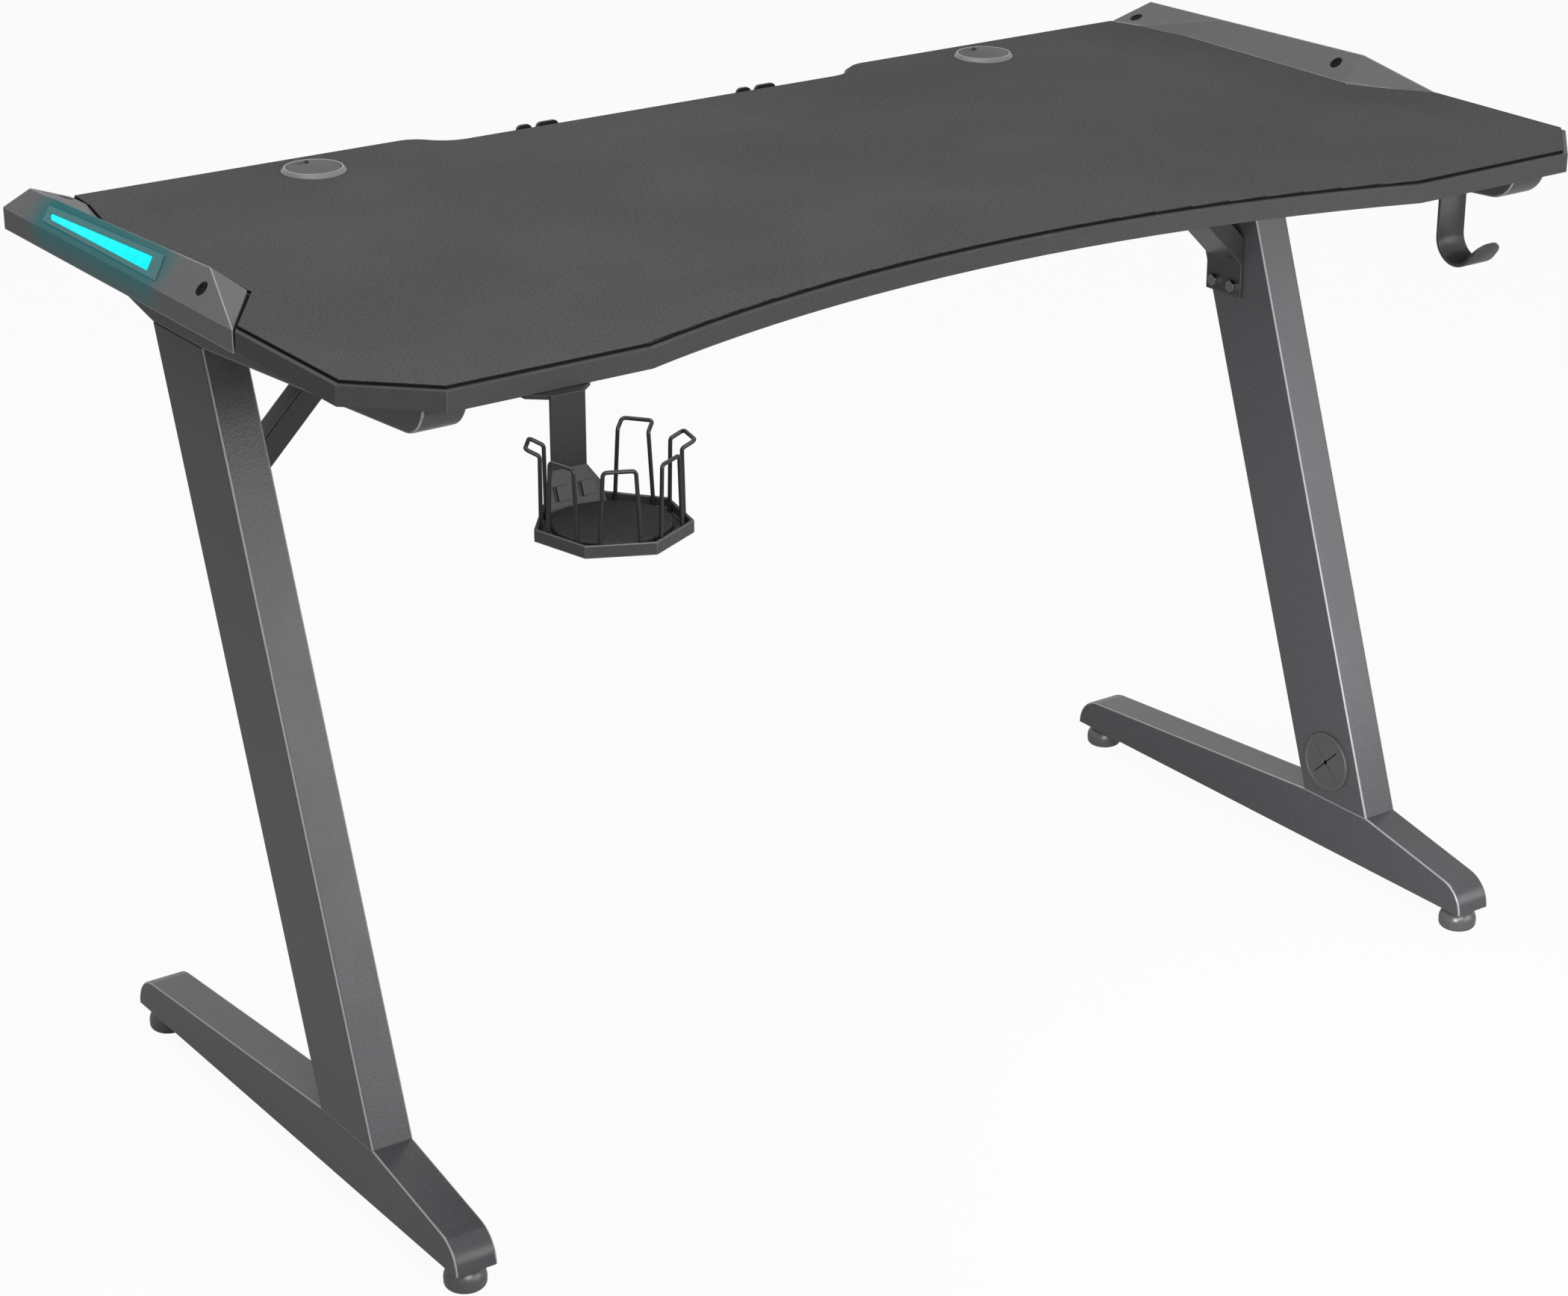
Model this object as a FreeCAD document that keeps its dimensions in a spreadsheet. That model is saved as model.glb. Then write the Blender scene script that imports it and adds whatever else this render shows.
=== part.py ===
"""Gaming desk with Z-shaped leg frames, lit side wings, a cup holder and a headphone hook.

Millimetres. +X is the user's right, +Y the rear, +Z up. The origin lies on the floor under the middle of
the desktop. Sizes live in the sheet "dim". Right-hand pieces are drawn and most left-hand ones mirror them.
"""
import FreeCAD
import Part
import math
import os
import Sketcher

V = FreeCAD.Vector
doc = FreeCAD.newDocument("gaming_desk")
sheet = doc.addObject("Spreadsheet::Sheet", "dim")

SIZES = {
    # Desktop: heights from the floor, plan distances from the middle
    "top_width": 1200,
    "top_depth": 600,
    "under_height": 724,
    "board_thick": 16,
    "mat_thick": 3,
    "mat_inset": 4,
    "mat_gap": 1,
    "corner_cut": 56,
    "kink_half": 375,
    "front_sag": 61,
    "recess_half": 192,
    "recess_run": 52,
    "recess_depth": 27,
    "board_round": 0.8,
    "mat_round": 1.2,
    "pilot_radius": 2.05,
    "pilot_deep": 12,
    # Light wings: distances in from the desk's side and ahead of its rear edge, which wing_rear passes
    "wing_front": 392,
    "wing_rear": 6,
    "hip_in": 48,
    "hip_y": 322,
    "waist_in": 39,
    "waist_y": 96,
    "step_in": 52,
    "step_y": 38,
    "tail_in": 54.5,
    "tail_y": 3,
    "ridge_front_in": 22.5,
    "ridge_front_y": 316,
    "ridge_rear_in": 16,
    "ridge_rear_y": 13.5,
    "crease_y": 121,
    "wing_slope": 1.09,
    "wing_lip": 1,
    "wing_drop": 2,
    "wing_wall": 2.5,
    "wing_gap": 2,
    "bezel_front": 262,
    "bezel_rear": 63,
    "bezel_low": 5,
    "bezel_front_high": 25.4,
    "bezel_rear_high": 18.5,
    "bezel_thick": 1.8,
    "bezel_sink": 1,
    "lens_front": 243,
    "lens_rear": 72,
    "lens_low": 9,
    "lens_front_high": 20.5,
    "lens_rear_high": 13.6,
    "lens_thick": 5,
    "led_lean": 10,
    "strip_width": 4,
    "strip_thick": 1.6,
    "wing_tie_in": 27,
    "wing_tie_front": 260,
    "wing_tie_rear": 80,
    "wing_boss_radius": 5,
    "wing_clear": 0.5,
    "lens_well": 20,
    "lens_gap": 0.1,
    "lens_sink": 0.3,
    "strip_rise": 0.6,
    "strip_inset": 8,
    "slope_seat_in": 11,
    "slope_seat_y": 323,
    "inner_seat_in": 33.5,
    "inner_seat_y": 292,
    "rear_seat_in": 42,
    "rear_seat_y": 23,
    "wing_screw_radius": 2,
    "wing_screw_head": 4,
    "wing_screw_cone": 2.1,
    "wing_screw_long": 10,
    "wing_screw_sink": 0.3,
    "wing_screw_clear": 0.15,
    "wing_screw_wall": 2.5,
    # Steel angles that carry the wings
    "angle_wall": 2.5,
    "angle_wide": 30,
    "angle_high": 24,
    "angle_toe": 10,
    "angle_bolt": 9,
    "angle_bolt_low": 15,
    # Fasteners
    "screw_radius": 2,
    "screw_long": 12,
    "screw_clear": 0.35,
    "tie_screw_long": 14,
    "tie_bolt_radius": 3,
    "tie_bolt_long": 9,
    "brace_bolt_radius": 3,
    "brace_bolt_long": 12,
    "cross_bolt_radius": 4,
    "cross_bolt_long": 14,
    "bolt_clear": 0.1,
    "head_sink": 0.5,
    "driver_hole": 6,
    "driver_stop": 10,
    # Leg frames: heights from the next piece, the brace from the column, the crossbeam from the brace
    "leg_inset": 70,
    "tube_thick": 37,
    "steel_wall": 2,
    "column_width": 80,
    "foot_y": -104,
    "head_y": 110,
    "foot_lift": 22,
    "beam_inset": 27,
    "beam_screw": 75,
    "beam_deep": 50,
    "nose_radius": 29,
    "tube_round": 2.2,
    "port_height": 38,
    "port_radius": 29,
    "port_hole": 25,
    "port_wall": 3,
    "port_deep": 5,
    "port_skin": 0.6,
    "port_face": 2.2,
    "port_rim": 3,
    "port_edge": 1.5,
    "port_step": 0.5,
    "port_gap": 0.1,
    "slit_eye": 2.5,
    "slit_half": 20,
    "slit_width": 1.2,
    "cross_y": 0.5,
    "cross_deep": 50,
    "cross_high": 25,
    "plate_ear": 16,
    "plate_thick": 4,
    "brace_front": 4,
    "brace_width": 47,
    "brace_root": 135.3,
    "brace_low": 34.7,
    "brace_lip": 18.8,
    "brace_tab": 34,
    "brace_bolt_up": 10,
    "brace_bolt_half": 12.6,
    "brace_tab_half": 11,
    "brace_gap": 1,
    "sheet_thick": 3,
    # Levelling glides: in from the beam's end
    "glide_y": 19,
    "glide_radius": 17,
    "glide_neck": 12.5,
    "glide_gap": 0.3,
    "glide_edge": 4.5,
    "glide_wall": 6.5,
    "glide_dome": 13,
    "glide_shoulder": 18,
    "stud_deep": 12,
    "stud_gap": 0.6,
    "stud_tip": 1,
    "nut_across": 13,
    "nut_high": 6.5,
    "nut_gap": 0.06,
    "stud_radius": 4,
    "stud_top": 18,
    # Cable grommets: in from the side and ahead of the rear edge
    "grommet_x": 250,
    "grommet_y": 51,
    "grommet_bore": 23.2,
    "grommet_flange": 27.2,
    "liner_wall": 2,
    "liner_gap": 0.5,
    "liner_below": 2,
    "liner_ledge": 2.5,
    "ledge_thick": 1.5,
    "flange_lip": 1,
    "flange_bevel": 2.2,
    "cap_bevel": 0.8,
    "cap_gap": 0.3,
    "grommet_high": 4,
    "cap_clear": 0.06,
    "cap_thick": 4.7,
    "notch_width": 16,
    "notch_deep": 13.5,
    "notch_turn": 100,
    # Cup holder: in from the side, out from the front edge, down from the underside, loops from its floor
    "cup_x": 146.5,
    "cup_y": 54.1,
    "dish_radius": 57,
    "dish_low": 85.3,
    "dish_high": 9,
    "dish_sheet": 2,
    "pad_radius": 42.3,
    "pad_thick": 5,
    "pad_edge": 1,
    "loop_half": 14,
    "loop_top_half": 11.3,
    "loop_short": 58,
    "loop_tall": 55.5,
    "loop_flare": 10,
    "wire_radius": 1.5,
    "wire_bend": 3,
    "strap_front": 11,
    "strap_half": 14,
    "strap_flange_half": 27,
    "strap_flange_back": 38,
    "strap_knee": 54.7,
    "strap_shoulder": 69,
    "strap_toe": 11,
    "strap_toe_half": 23.5,
    "strap_clip": 14,
    "strap_screw_half": 15,
    "flange_screw_in": 14,
    "lug_near": 5,
    "lug_far": 15.5,
    "lug_low": 9,
    "lug_high": 19.5,
    # Headphone hook: in from the side and the front edge, down from the underside
    "hook_x": 167,
    "hook_width": 29.6,
    "hook_front": 20,
    "hook_back": 65,
    "hook_radius": 19,
    "hook_centre": 39.5,
    "hook_turn": 143,
    "hook_tip": 17,
    "hook_tip_round": 10,
    "hook_screw_half": 8,
    # Cable hooks about the rear recess's edge
    "clip_x": 115,
    "clip_width": 42,
    "clip_front": 28,
    "clip_rear": 9,
    "clip_top": 3,
    "clip_gap_left": 15,
    "clip_gap": 5,
    "clip_slot_low": 4,
    "clip_round": 5,
    "clip_screw_half": 12,
    "clip_screw_in": 10,
    # Light controller: in from the side and ahead of the rear edge
    "box_x": 300,
    "box_y": 95,
    "box_width": 72,
    "box_depth": 34,
    "box_high": 18,
    "box_round": 2,
    "ear_long": 12,
    "ear_wide": 16,
    "ear_thick": 3,
    "inlet_across": 22,
    "inlet_radius": 4.5,
    "inlet_deep": 10,
    "inlet_wall": 2,
    "inlet_bore": 3,
    "inlet_pin": 1,
    "inlet_pin_long": 7,
    # Leads
    "lead_radius": 1.75,
    "lead_bend": 5,
    "lead_gap": 0.2,
    "lead_lane": 11,
    "lead_hook_gap": 8,
    "lead_wing_in": 34,
    "lead_solder": 0.4,
}

for row, (alias, size) in enumerate(SIZES.items(), start=1):
    cell = "A%d" % row
    sheet.set(cell, str(size))
    sheet.setAlias(cell, alias)
doc.recompute()



def ahead(alias):
    """A place that far ahead of the desktop's rear edge."""
    return f"(dim.top_depth / 2 - dim.{alias})"


BOARD_TOP = "(dim.under_height + dim.board_thick)"
MAT_TOP = "(dim.under_height + dim.board_thick + dim.mat_thick)"
SIDE = "(dim.top_width / 2)"
REAR = "(dim.top_depth / 2)"
LEG_X = "(dim.top_width / 2 - dim.leg_inset)"
LEG_IN = "(dim.top_width / 2 - dim.leg_inset - dim.tube_thick / 2)"
LEG_OUT = "(dim.top_width / 2 - dim.leg_inset + dim.tube_thick / 2)"
FOOT_TOP = "(dim.foot_lift + dim.beam_deep)"
HEAD_LOW = "(dim.under_height - dim.beam_deep)"
LEAN = f"((dim.head_y - dim.foot_y) / ({HEAD_LOW} - {FOOT_TOP}))"
COLUMN_HALF = f"(dim.column_width / 2 * sqrt(1 + {LEAN} ^ 2))"
WING_LOW = "(dim.under_height - dim.wing_drop)"
SHEET_LOW = "(dim.under_height - dim.sheet_thick)"
CROSS_LOW = "(dim.under_height - dim.cross_high)"
CROSS_BOLT_Z = f"({CROSS_LOW} + dim.cross_high / 2)"
BEAM_HALF = ahead("beam_inset")
BEAM_SCREW_Y = f"({BEAM_HALF} - dim.beam_screw)"
BRACE_ROOT = f"({CROSS_LOW} - dim.brace_root)"
BRACE_LOW = f"({BRACE_ROOT} - dim.brace_low)"
BRACE_BOLT_Z = f"({BRACE_LOW} + dim.brace_bolt_up)"
BRACE_FRONT = f"(dim.foot_y + {LEAN} * ({BRACE_BOLT_Z} - {FOOT_TOP}) - dim.brace_front)"
BRACE_MIDDLE = f"({BRACE_FRONT} + dim.brace_width / 2)"
CROSS_Y = f"({BRACE_MIDDLE} + dim.cross_y)"
PORT_Z = f"({FOOT_TOP} + dim.port_height)"
PORT_Y = f"(dim.foot_y + {LEAN} * dim.port_height)"
GLIDE_Y = f"({BEAM_HALF} - dim.glide_y)"
STUD_TOP = "(dim.foot_lift + dim.stud_top)"
WING_FRONT = ahead("wing_front")
WING_REAR = "(dim.top_depth / 2 + dim.wing_rear)"
HIP_Y = ahead("hip_y")
WAIST_Y = ahead("waist_y")
STEP_Y = ahead("step_y")
TAIL_Y = ahead("tail_y")
RIDGE_FRONT_Y = ahead("ridge_front_y")
RIDGE_REAR_Y = ahead("ridge_rear_y")
CREASE_Y = ahead("crease_y")
BEZEL_FRONT = ahead("bezel_front")
BEZEL_REAR = ahead("bezel_rear")
LENS_FRONT = ahead("lens_front")
LENS_REAR = ahead("lens_rear")
WING_TIE_FRONT = ahead("wing_tie_front")
WING_TIE_REAR = ahead("wing_tie_rear")
GROMMET_X = f"({SIDE} - dim.grommet_x)"
GROMMET_Y = ahead("grommet_y")
RECESS_FLOOR = f"({REAR} - dim.recess_depth)"
CUP_X = f"(dim.cup_x - {SIDE})"
STRAP_FRONT = f"(-{REAR} - dim.strap_front)"
STRAP_BACK = f"(dim.strap_flange_back - {REAR})"
STRAP_TOE = f"({STRAP_FRONT} - dim.strap_toe)"
STRAP_KNEE = "(dim.under_height - dim.strap_knee)"
STRAP_SHOULDER = "(dim.under_height - dim.strap_shoulder)"
CUP_Y = f"({STRAP_FRONT} - dim.cup_y)"
DISH_LOW = "(dim.under_height - dim.dish_low)"
DISH_FLOOR = f"({DISH_LOW} + dim.dish_sheet)"
DISH_TURN = 360 / 7
LOOP_SHORT = f"({DISH_FLOOR} + dim.loop_short)"
LOOP_TALL = f"({DISH_FLOOR} + dim.loop_tall)"
HOOK_X = f"({SIDE} - dim.hook_x)"
HOOK_FRONT = f"(dim.hook_front - {REAR})"
HOOK_BACK = f"(dim.hook_back - {REAR})"
HOOK_Z = "(dim.under_height - dim.hook_centre)"
CLIP_FRONT = f"({RECESS_FLOOR} - dim.clip_front)"
CLIP_REAR = f"({RECESS_FLOOR} + dim.clip_rear)"
CLIP_TOP = f"({BOARD_TOP} + dim.clip_top)"
BOX_X = f"(dim.box_x - {SIDE})"
BOX_Y = ahead("box_y")

nodes = []


def number(expression):
    """Plain value of an expression over the sheet."""
    value = sheet.evalExpression(str(expression))
    return float(getattr(value, "Value", value))


def node(thing):
    """Count a finished object among the pieces that are written out."""
    nodes.append(thing)
    return thing


def new_body(label):
    return doc.addObject("PartDesign::Body", label)


def place(thing, x, y, z):
    """Put an object drawn about its own axis at a spot given in expressions."""
    for axis, value in (("x", x), ("y", y), ("z", z)):
        thing.setExpression("Placement.Base." + axis, value)


def sketch_on(body, plane, height="0"):
    """An empty sketch on one of the body's planes, moved along the plane's normal."""
    support = [feature for feature in body.Origin.OriginFeatures if feature.Role == plane][0]
    sketch = body.newObject("Sketcher::SketchObject", body.Name + "_sketch")
    sketch.AttachmentSupport = [(support, "")]
    sketch.MapMode = "FlatFace"
    sketch.setExpression("AttachmentOffset.Base.z", height)
    doc.recompute()
    return sketch


def bind(sketch, constraint, expression):
    index = sketch.addConstraint(constraint)
    name = "size%d" % index
    sketch.renameConstraint(index, name)
    sketch.setExpression("Constraints." + name, expression)


def arc_between(here, there, radius, turn):
    """The shorter arc from one point to another that turns left or right."""
    chord = there - here
    lift = math.sqrt(max(radius ** 2 - chord.Length ** 2 / 4, 0)) / chord.Length
    across = V(-chord.y, chord.x, 0) * lift
    centre = (here + there) * 0.5 + (across if turn == "left" else across * -1)
    start, end = (here, there) if turn == "left" else (there, here)
    angles = [math.atan2(spot.y - centre.y, spot.x - centre.x) for spot in (start, end)]
    return Part.ArcOfCircle(Part.Circle(centre, V(0, 0, 1), radius), angles[0], angles[1])


def draw(sketch, path):
    """Draw a closed outline of steps (x, y) or (x, y, radius, turn), all in expressions.

    The edge that leaves a step is straight, or an arc of that radius that turns left or right.
    """
    spots = [V(number(step[0]), number(step[1]), 0) for step in path]
    first = sketch.GeometryCount
    ends = []
    for index, step in enumerate(path):
        here = spots[index]
        there = spots[(index + 1) % len(path)]
        if len(step) == 2:
            sketch.addGeometry(Part.LineSegment(here, there), False)
            ends.append((1, 2))
        else:
            sketch.addGeometry(arc_between(here, there, number(step[2]), step[3]), False)
            ends.append((1, 2) if step[3] == "left" else (2, 1))
    for index, step in enumerate(path):
        following = (index + 1) % len(path)
        joined = (first + index, ends[index][1], first + following, ends[following][0])
        sketch.addConstraint(Sketcher.Constraint("Coincident", *joined))
    for index, step in enumerate(path):
        start = (-1, 1, first + index, ends[index][0])
        bind(sketch, Sketcher.Constraint("DistanceX", *start, spots[index].x), str(step[0]))
        bind(sketch, Sketcher.Constraint("DistanceY", *start, spots[index].y), str(step[1]))
        if len(step) == 4:
            bind(sketch, Sketcher.Constraint("Radius", first + index, number(step[2])), str(step[2]))


def draw_circle(sketch, x, y, radius):
    index = sketch.GeometryCount
    centre = V(number(x), number(y), 0)
    sketch.addGeometry(Part.Circle(centre, V(0, 0, 1), number(radius)), False)
    bind(sketch, Sketcher.Constraint("DistanceX", -1, 1, index, 3, centre.x), str(x))
    bind(sketch, Sketcher.Constraint("DistanceY", -1, 1, index, 3, centre.y), str(y))
    bind(sketch, Sketcher.Constraint("Radius", index, number(radius)), str(radius))


def pad(body, plane, height, path, length):
    """Add an outline drawn on a plane, grown along the plane's normal."""
    sketch = sketch_on(body, plane, height)
    draw(sketch, path)
    feature = body.newObject("PartDesign::Pad", body.Name + "_pad")
    feature.Profile = sketch
    feature.setExpression("Length", length)
    doc.recompute()


def cut(body, sketch, depth):
    """Cut what a sketch outlines along its normal, and make sure that metal went."""
    before = body.Shape.Volume
    feature = body.newObject("PartDesign::Pocket", body.Name + "_cut")
    feature.Profile = sketch
    feature.Reversed = True
    feature.setExpression("Length", depth)
    doc.recompute()
    if body.Shape.Volume > before - 0.5:
        raise RuntimeError("nothing was cut from " + body.Label)


def cut_path(body, plane, height, path, depth):
    sketch = sketch_on(body, plane, height)
    draw(sketch, path)
    cut(body, sketch, depth)


def cut_circles(body, plane, height, spots, radius, depth):
    sketch = sketch_on(body, plane, height)
    for x, y in spots:
        draw_circle(sketch, x, y, radius)
    cut(body, sketch, depth)


def revolve(body, path):
    """Turn an outline of (radius, height) steps about the body's own upright axis."""
    sketch = sketch_on(body, "XZ_Plane")
    draw(sketch, path)
    feature = body.newObject("PartDesign::Revolution", body.Name + "_turn")
    feature.Profile = sketch
    feature.ReferenceAxis = (sketch, ["V_Axis"])
    feature.Angle = 360
    doc.recompute()


def round_edges(body, chosen, radius):
    """Round the edges of the body's last feature that pass a test."""
    base = body.Tip
    names = ["Edge%d" % (index + 1) for index, edge in enumerate(base.Shape.Edges) if chosen(edge)]
    feature = body.newObject("PartDesign::Fillet", body.Name + "_round")
    feature.Base = (base, names)
    feature.setExpression("Radius", radius)
    doc.recompute()


def level_edges(*heights):
    """A test for edges that lie flat at one of some heights."""
    levels = [number(height) for height in heights]

    def chosen(edge):
        box = edge.BoundBox
        return any(abs(box.ZMin - level) + abs(box.ZMax - level) < 0.01 for level in levels)

    return chosen


def climbing_side(edge):
    """Whether an edge climbs along one of the right leg's two side faces."""
    box = edge.BoundBox
    on_side = any(abs(box.XMin - number(x)) + abs(box.XMax - number(x)) < 0.01 for x in (LEG_IN, LEG_OUT))
    return on_side and box.ZLength > number("dim.tube_round")


def end_edges(height):
    """A test for straight edges across the thickness of a sheet that ends at a height."""
    level = number(height)

    def chosen(edge):
        box = edge.BoundBox
        return abs(box.ZMin - level) + abs(box.ZMax - level) + box.XLength < 0.02

    return chosen


def tip_edges(y, z):
    """A test for edges whose middle lies at one place when seen from the side."""
    side_spot = (number(y), number(z))

    def chosen(edge):
        middle = edge.CenterOfMass
        return abs(middle.y - side_spot[0]) + abs(middle.z - side_spot[1]) < 0.01

    return chosen


def mirrored(thing, label):
    """The left-hand piece that mirrors a right-hand one."""
    copy = doc.addObject("Part::Mirroring", label)
    copy.Source = thing
    copy.Normal = V(1, 0, 0)
    return node(copy)


def shaped(label, shape):
    """A piece whose shape is worked out directly."""
    thing = doc.addObject("Part::Feature", label)
    thing.Shape = shape
    return node(thing)


def rectangle(left, low, right, high):
    return [(left, low), (right, low), (right, high), (left, high)]


def flipped(path):
    """The outline on the other side of the desk, drawn the other way round."""
    return [("-(%s)" % x, y) for x, y in reversed(path)]


# Desktop


def wing_edge(gap):
    """The board's edge along the right wing, from front to rear, a gap away from it."""
    front_slant = f"sqrt(dim.hip_in ^ 2 + ({HIP_Y} - {WING_FRONT}) ^ 2)"
    return [
        (SIDE, f"{WING_FRONT} - {gap} * {front_slant} / dim.hip_in"),
        (
            f"{SIDE} - dim.hip_in - {gap}",
            f"{HIP_Y} - {gap} * ({front_slant} - {HIP_Y} + {WING_FRONT}) / dim.hip_in",
        ),
        (f"{SIDE} - dim.waist_in - {gap}", WAIST_Y),
        (f"{SIDE} - dim.step_in - {gap}", STEP_Y),
    ]


def desktop_path(inset, gap):
    """Plan outline of the desktop, moved inwards by an inset."""
    front = f"(-{REAR} + {inset})"
    rear = f"({REAR} - {inset})"
    side = f"({SIDE} - {inset})"
    sag_radius = "((dim.kink_half ^ 2 + dim.front_sag ^ 2) / (2 * dim.front_sag))"
    kink = f"sqrt(({sag_radius} + {inset}) ^ 2 - ({sag_radius} - dim.front_sag + {inset}) ^ 2)"
    clip = f"({REAR} - dim.corner_cut - {inset} * (sqrt(2) - 1))"
    clip_x = f"({SIDE} - dim.corner_cut - {inset} * (sqrt(2) - 1))"
    bend = "((dim.recess_run ^ 2 + dim.recess_depth ^ 2) / (4 * dim.recess_depth))"
    outer_bend = f"({bend} - {inset})"
    inner_bend = f"({bend} + {inset})"
    shoulder = "(dim.recess_half + dim.recess_run)"
    turn_x = f"({shoulder} - {outer_bend} * dim.recess_run / (2 * {bend}))"
    turn_y = f"({REAR} - {bend} + {outer_bend} * (2 * {bend} - dim.recess_depth) / (2 * {bend}))"
    floor = f"({rear} - dim.recess_depth)"
    edge = [step for step in wing_edge(gap)]
    edge[0] = (side, f"{edge[0][1]} + {inset} * ({HIP_Y} - {WING_FRONT}) / dim.hip_in")
    edge.append((f"{SIDE} - dim.tail_in - {gap}", rear))
    return (
        [
            (f"-{kink}", front, f"{sag_radius} + {inset}", "right"),
            (kink, front),
            (clip_x, front),
            (side, f"-{clip}"),
        ]
        + edge
        + [
            (shoulder, rear, outer_bend, "left"),
            (turn_x, turn_y, inner_bend, "right"),
            ("dim.recess_half", floor),
            ("-dim.recess_half", floor, inner_bend, "right"),
            (f"-{turn_x}", turn_y, outer_bend, "left"),
            (f"-{shoulder}", rear),
        ]
        + flipped(edge)
        + [(f"-{side}", f"-{clip}"), (f"-{clip_x}", front)]
    )


def beam_screw_spots():
    """Where the top beams are screwed up into the board."""
    return [(f"{hand} * {LEG_X}", f"{end} * {BEAM_SCREW_Y}") for hand in (-1, 1) for end in (-1, 1)]


def cup_screw_spots():
    row = f"{STRAP_BACK} - dim.flange_screw_in"
    return [(f"{CUP_X} + {hand} * dim.strap_screw_half", row) for hand in (-1, 1)]


def hook_screw_spots():
    row = f"{HOOK_BACK} - dim.flange_screw_in"
    return [(f"{HOOK_X} + {hand} * dim.hook_screw_half", row) for hand in (-1, 1)]


def clip_screw_spots():
    row = f"{CLIP_FRONT} + dim.clip_screw_in"
    pairs = [(hand, end) for hand in (-1, 1) for end in (-1, 1)]
    return [(f"{hand} * dim.clip_x + {end} * dim.clip_screw_half", row) for hand, end in pairs]


def box_screw_spots():
    return [(f"{BOX_X} + {hand} * ((dim.box_width + dim.ear_long) / 2)", BOX_Y) for hand in (-1, 1)]


def desktop():
    grommets = [(f"{hand} * {GROMMET_X}", GROMMET_Y) for hand in (-1, 1)]
    grommet_hole = "dim.grommet_bore + dim.liner_wall + dim.liner_gap"
    pilots = beam_screw_spots() + cup_screw_spots() + hook_screw_spots()
    pilots += clip_screw_spots() + box_screw_spots()
    board = new_body("desktop_board")
    pad(board, "XY_Plane", "dim.under_height", desktop_path("0", "dim.wing_gap"), "dim.board_thick")
    round_edges(board, level_edges("dim.under_height", BOARD_TOP), "dim.board_round")
    cut_circles(board, "XY_Plane", "dim.under_height", grommets, grommet_hole, "dim.board_thick")
    cut_circles(board, "XY_Plane", "dim.under_height", pilots, "dim.pilot_radius", "dim.pilot_deep")
    node(board)
    mat = new_body("desktop_mat")
    outline = desktop_path("dim.mat_inset", "(dim.wing_gap + dim.mat_gap)")
    pad(mat, "XY_Plane", BOARD_TOP, outline, "dim.mat_thick")
    round_edges(mat, level_edges(MAT_TOP), "dim.mat_round")
    cut_circles(mat, "XY_Plane", BOARD_TOP, grommets, grommet_hole, "dim.mat_thick")
    node(mat)


# Light wings


def solid_of(spots, faces):
    """A closed solid from named corner points and its faces' rings of names."""
    sides = [Part.Face(Part.makePolygon([spots[name] for name in ring + ring[:1]])) for ring in faces]
    solid = Part.makeSolid(Part.makeShell(sides))
    if solid.Volume < 0:
        solid.reverse()
    return solid


def on_facet(corners, x, y):
    """The point above (x, y) on the plane of three corners."""
    normal = (corners[1] - corners[0]).cross(corners[2] - corners[0])
    drop = (normal.x * (x - corners[0].x) + normal.y * (y - corners[0].y)) / normal.z
    return V(x, y, corners[0].z - drop)


def wing_corners():
    """Corners of the right wing's outside: edges, ridge and foot."""
    side = number(SIDE)
    top = number(BOARD_TOP)
    lip = number(f"{MAT_TOP} + dim.wing_lip")
    slope = number("dim.wing_slope")
    front_in = number("dim.ridge_front_in")
    rear_in = number("dim.ridge_rear_in")
    corners = {
        "tip": V(side, number(WING_FRONT), top),
        "end": V(side, number(WING_REAR), top),
        "peak": V(side - front_in, number(RIDGE_FRONT_Y), top + slope * front_in),
        "back": V(side - rear_in, number(RIDGE_REAR_Y), top + slope * rear_in),
        "hip": V(side - number("dim.hip_in"), number(HIP_Y), lip),
        "step": V(side - number("dim.step_in"), number(STEP_Y), lip),
    }
    along = (number(CREASE_Y) - corners["peak"].y) / (corners["back"].y - corners["peak"].y)
    corners["crease"] = corners["peak"] + (corners["back"] - corners["peak"]) * along
    inner = [corners[name] for name in ("peak", "hip", "crease")]
    rear = [corners[name] for name in ("crease", "back", "step")]
    corners["waist"] = on_facet(inner, side - number("dim.waist_in"), number(WAIST_Y))
    corners["tail"] = on_facet(rear, side - number("dim.tail_in"), number(TAIL_Y))
    low = number(WING_LOW)
    for name in ("tip", "hip", "waist", "step", "tail", "end"):
        corners[name + "_low"] = V(corners[name].x, corners[name].y, low)
    return corners


WING_RIM = ["tip", "hip", "waist", "step", "tail", "end"]
WING_ROOF = [
    ["tip", "end", "back", "crease", "peak"],
    ["tip", "peak", "hip"],
    ["peak", "crease", "waist", "hip"],
    ["crease", "step", "waist"],
    ["crease", "back", "tail", "step"],
    ["back", "end", "tail"],
]


def wing_solid(corners, roof):
    faces = roof + [[name + "_low" for name in WING_RIM]]
    for here, there in zip(WING_RIM, WING_RIM[1:] + WING_RIM[:1]):
        faces.append([here, there, there + "_low", here + "_low"])
    return solid_of(corners, faces)


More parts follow.
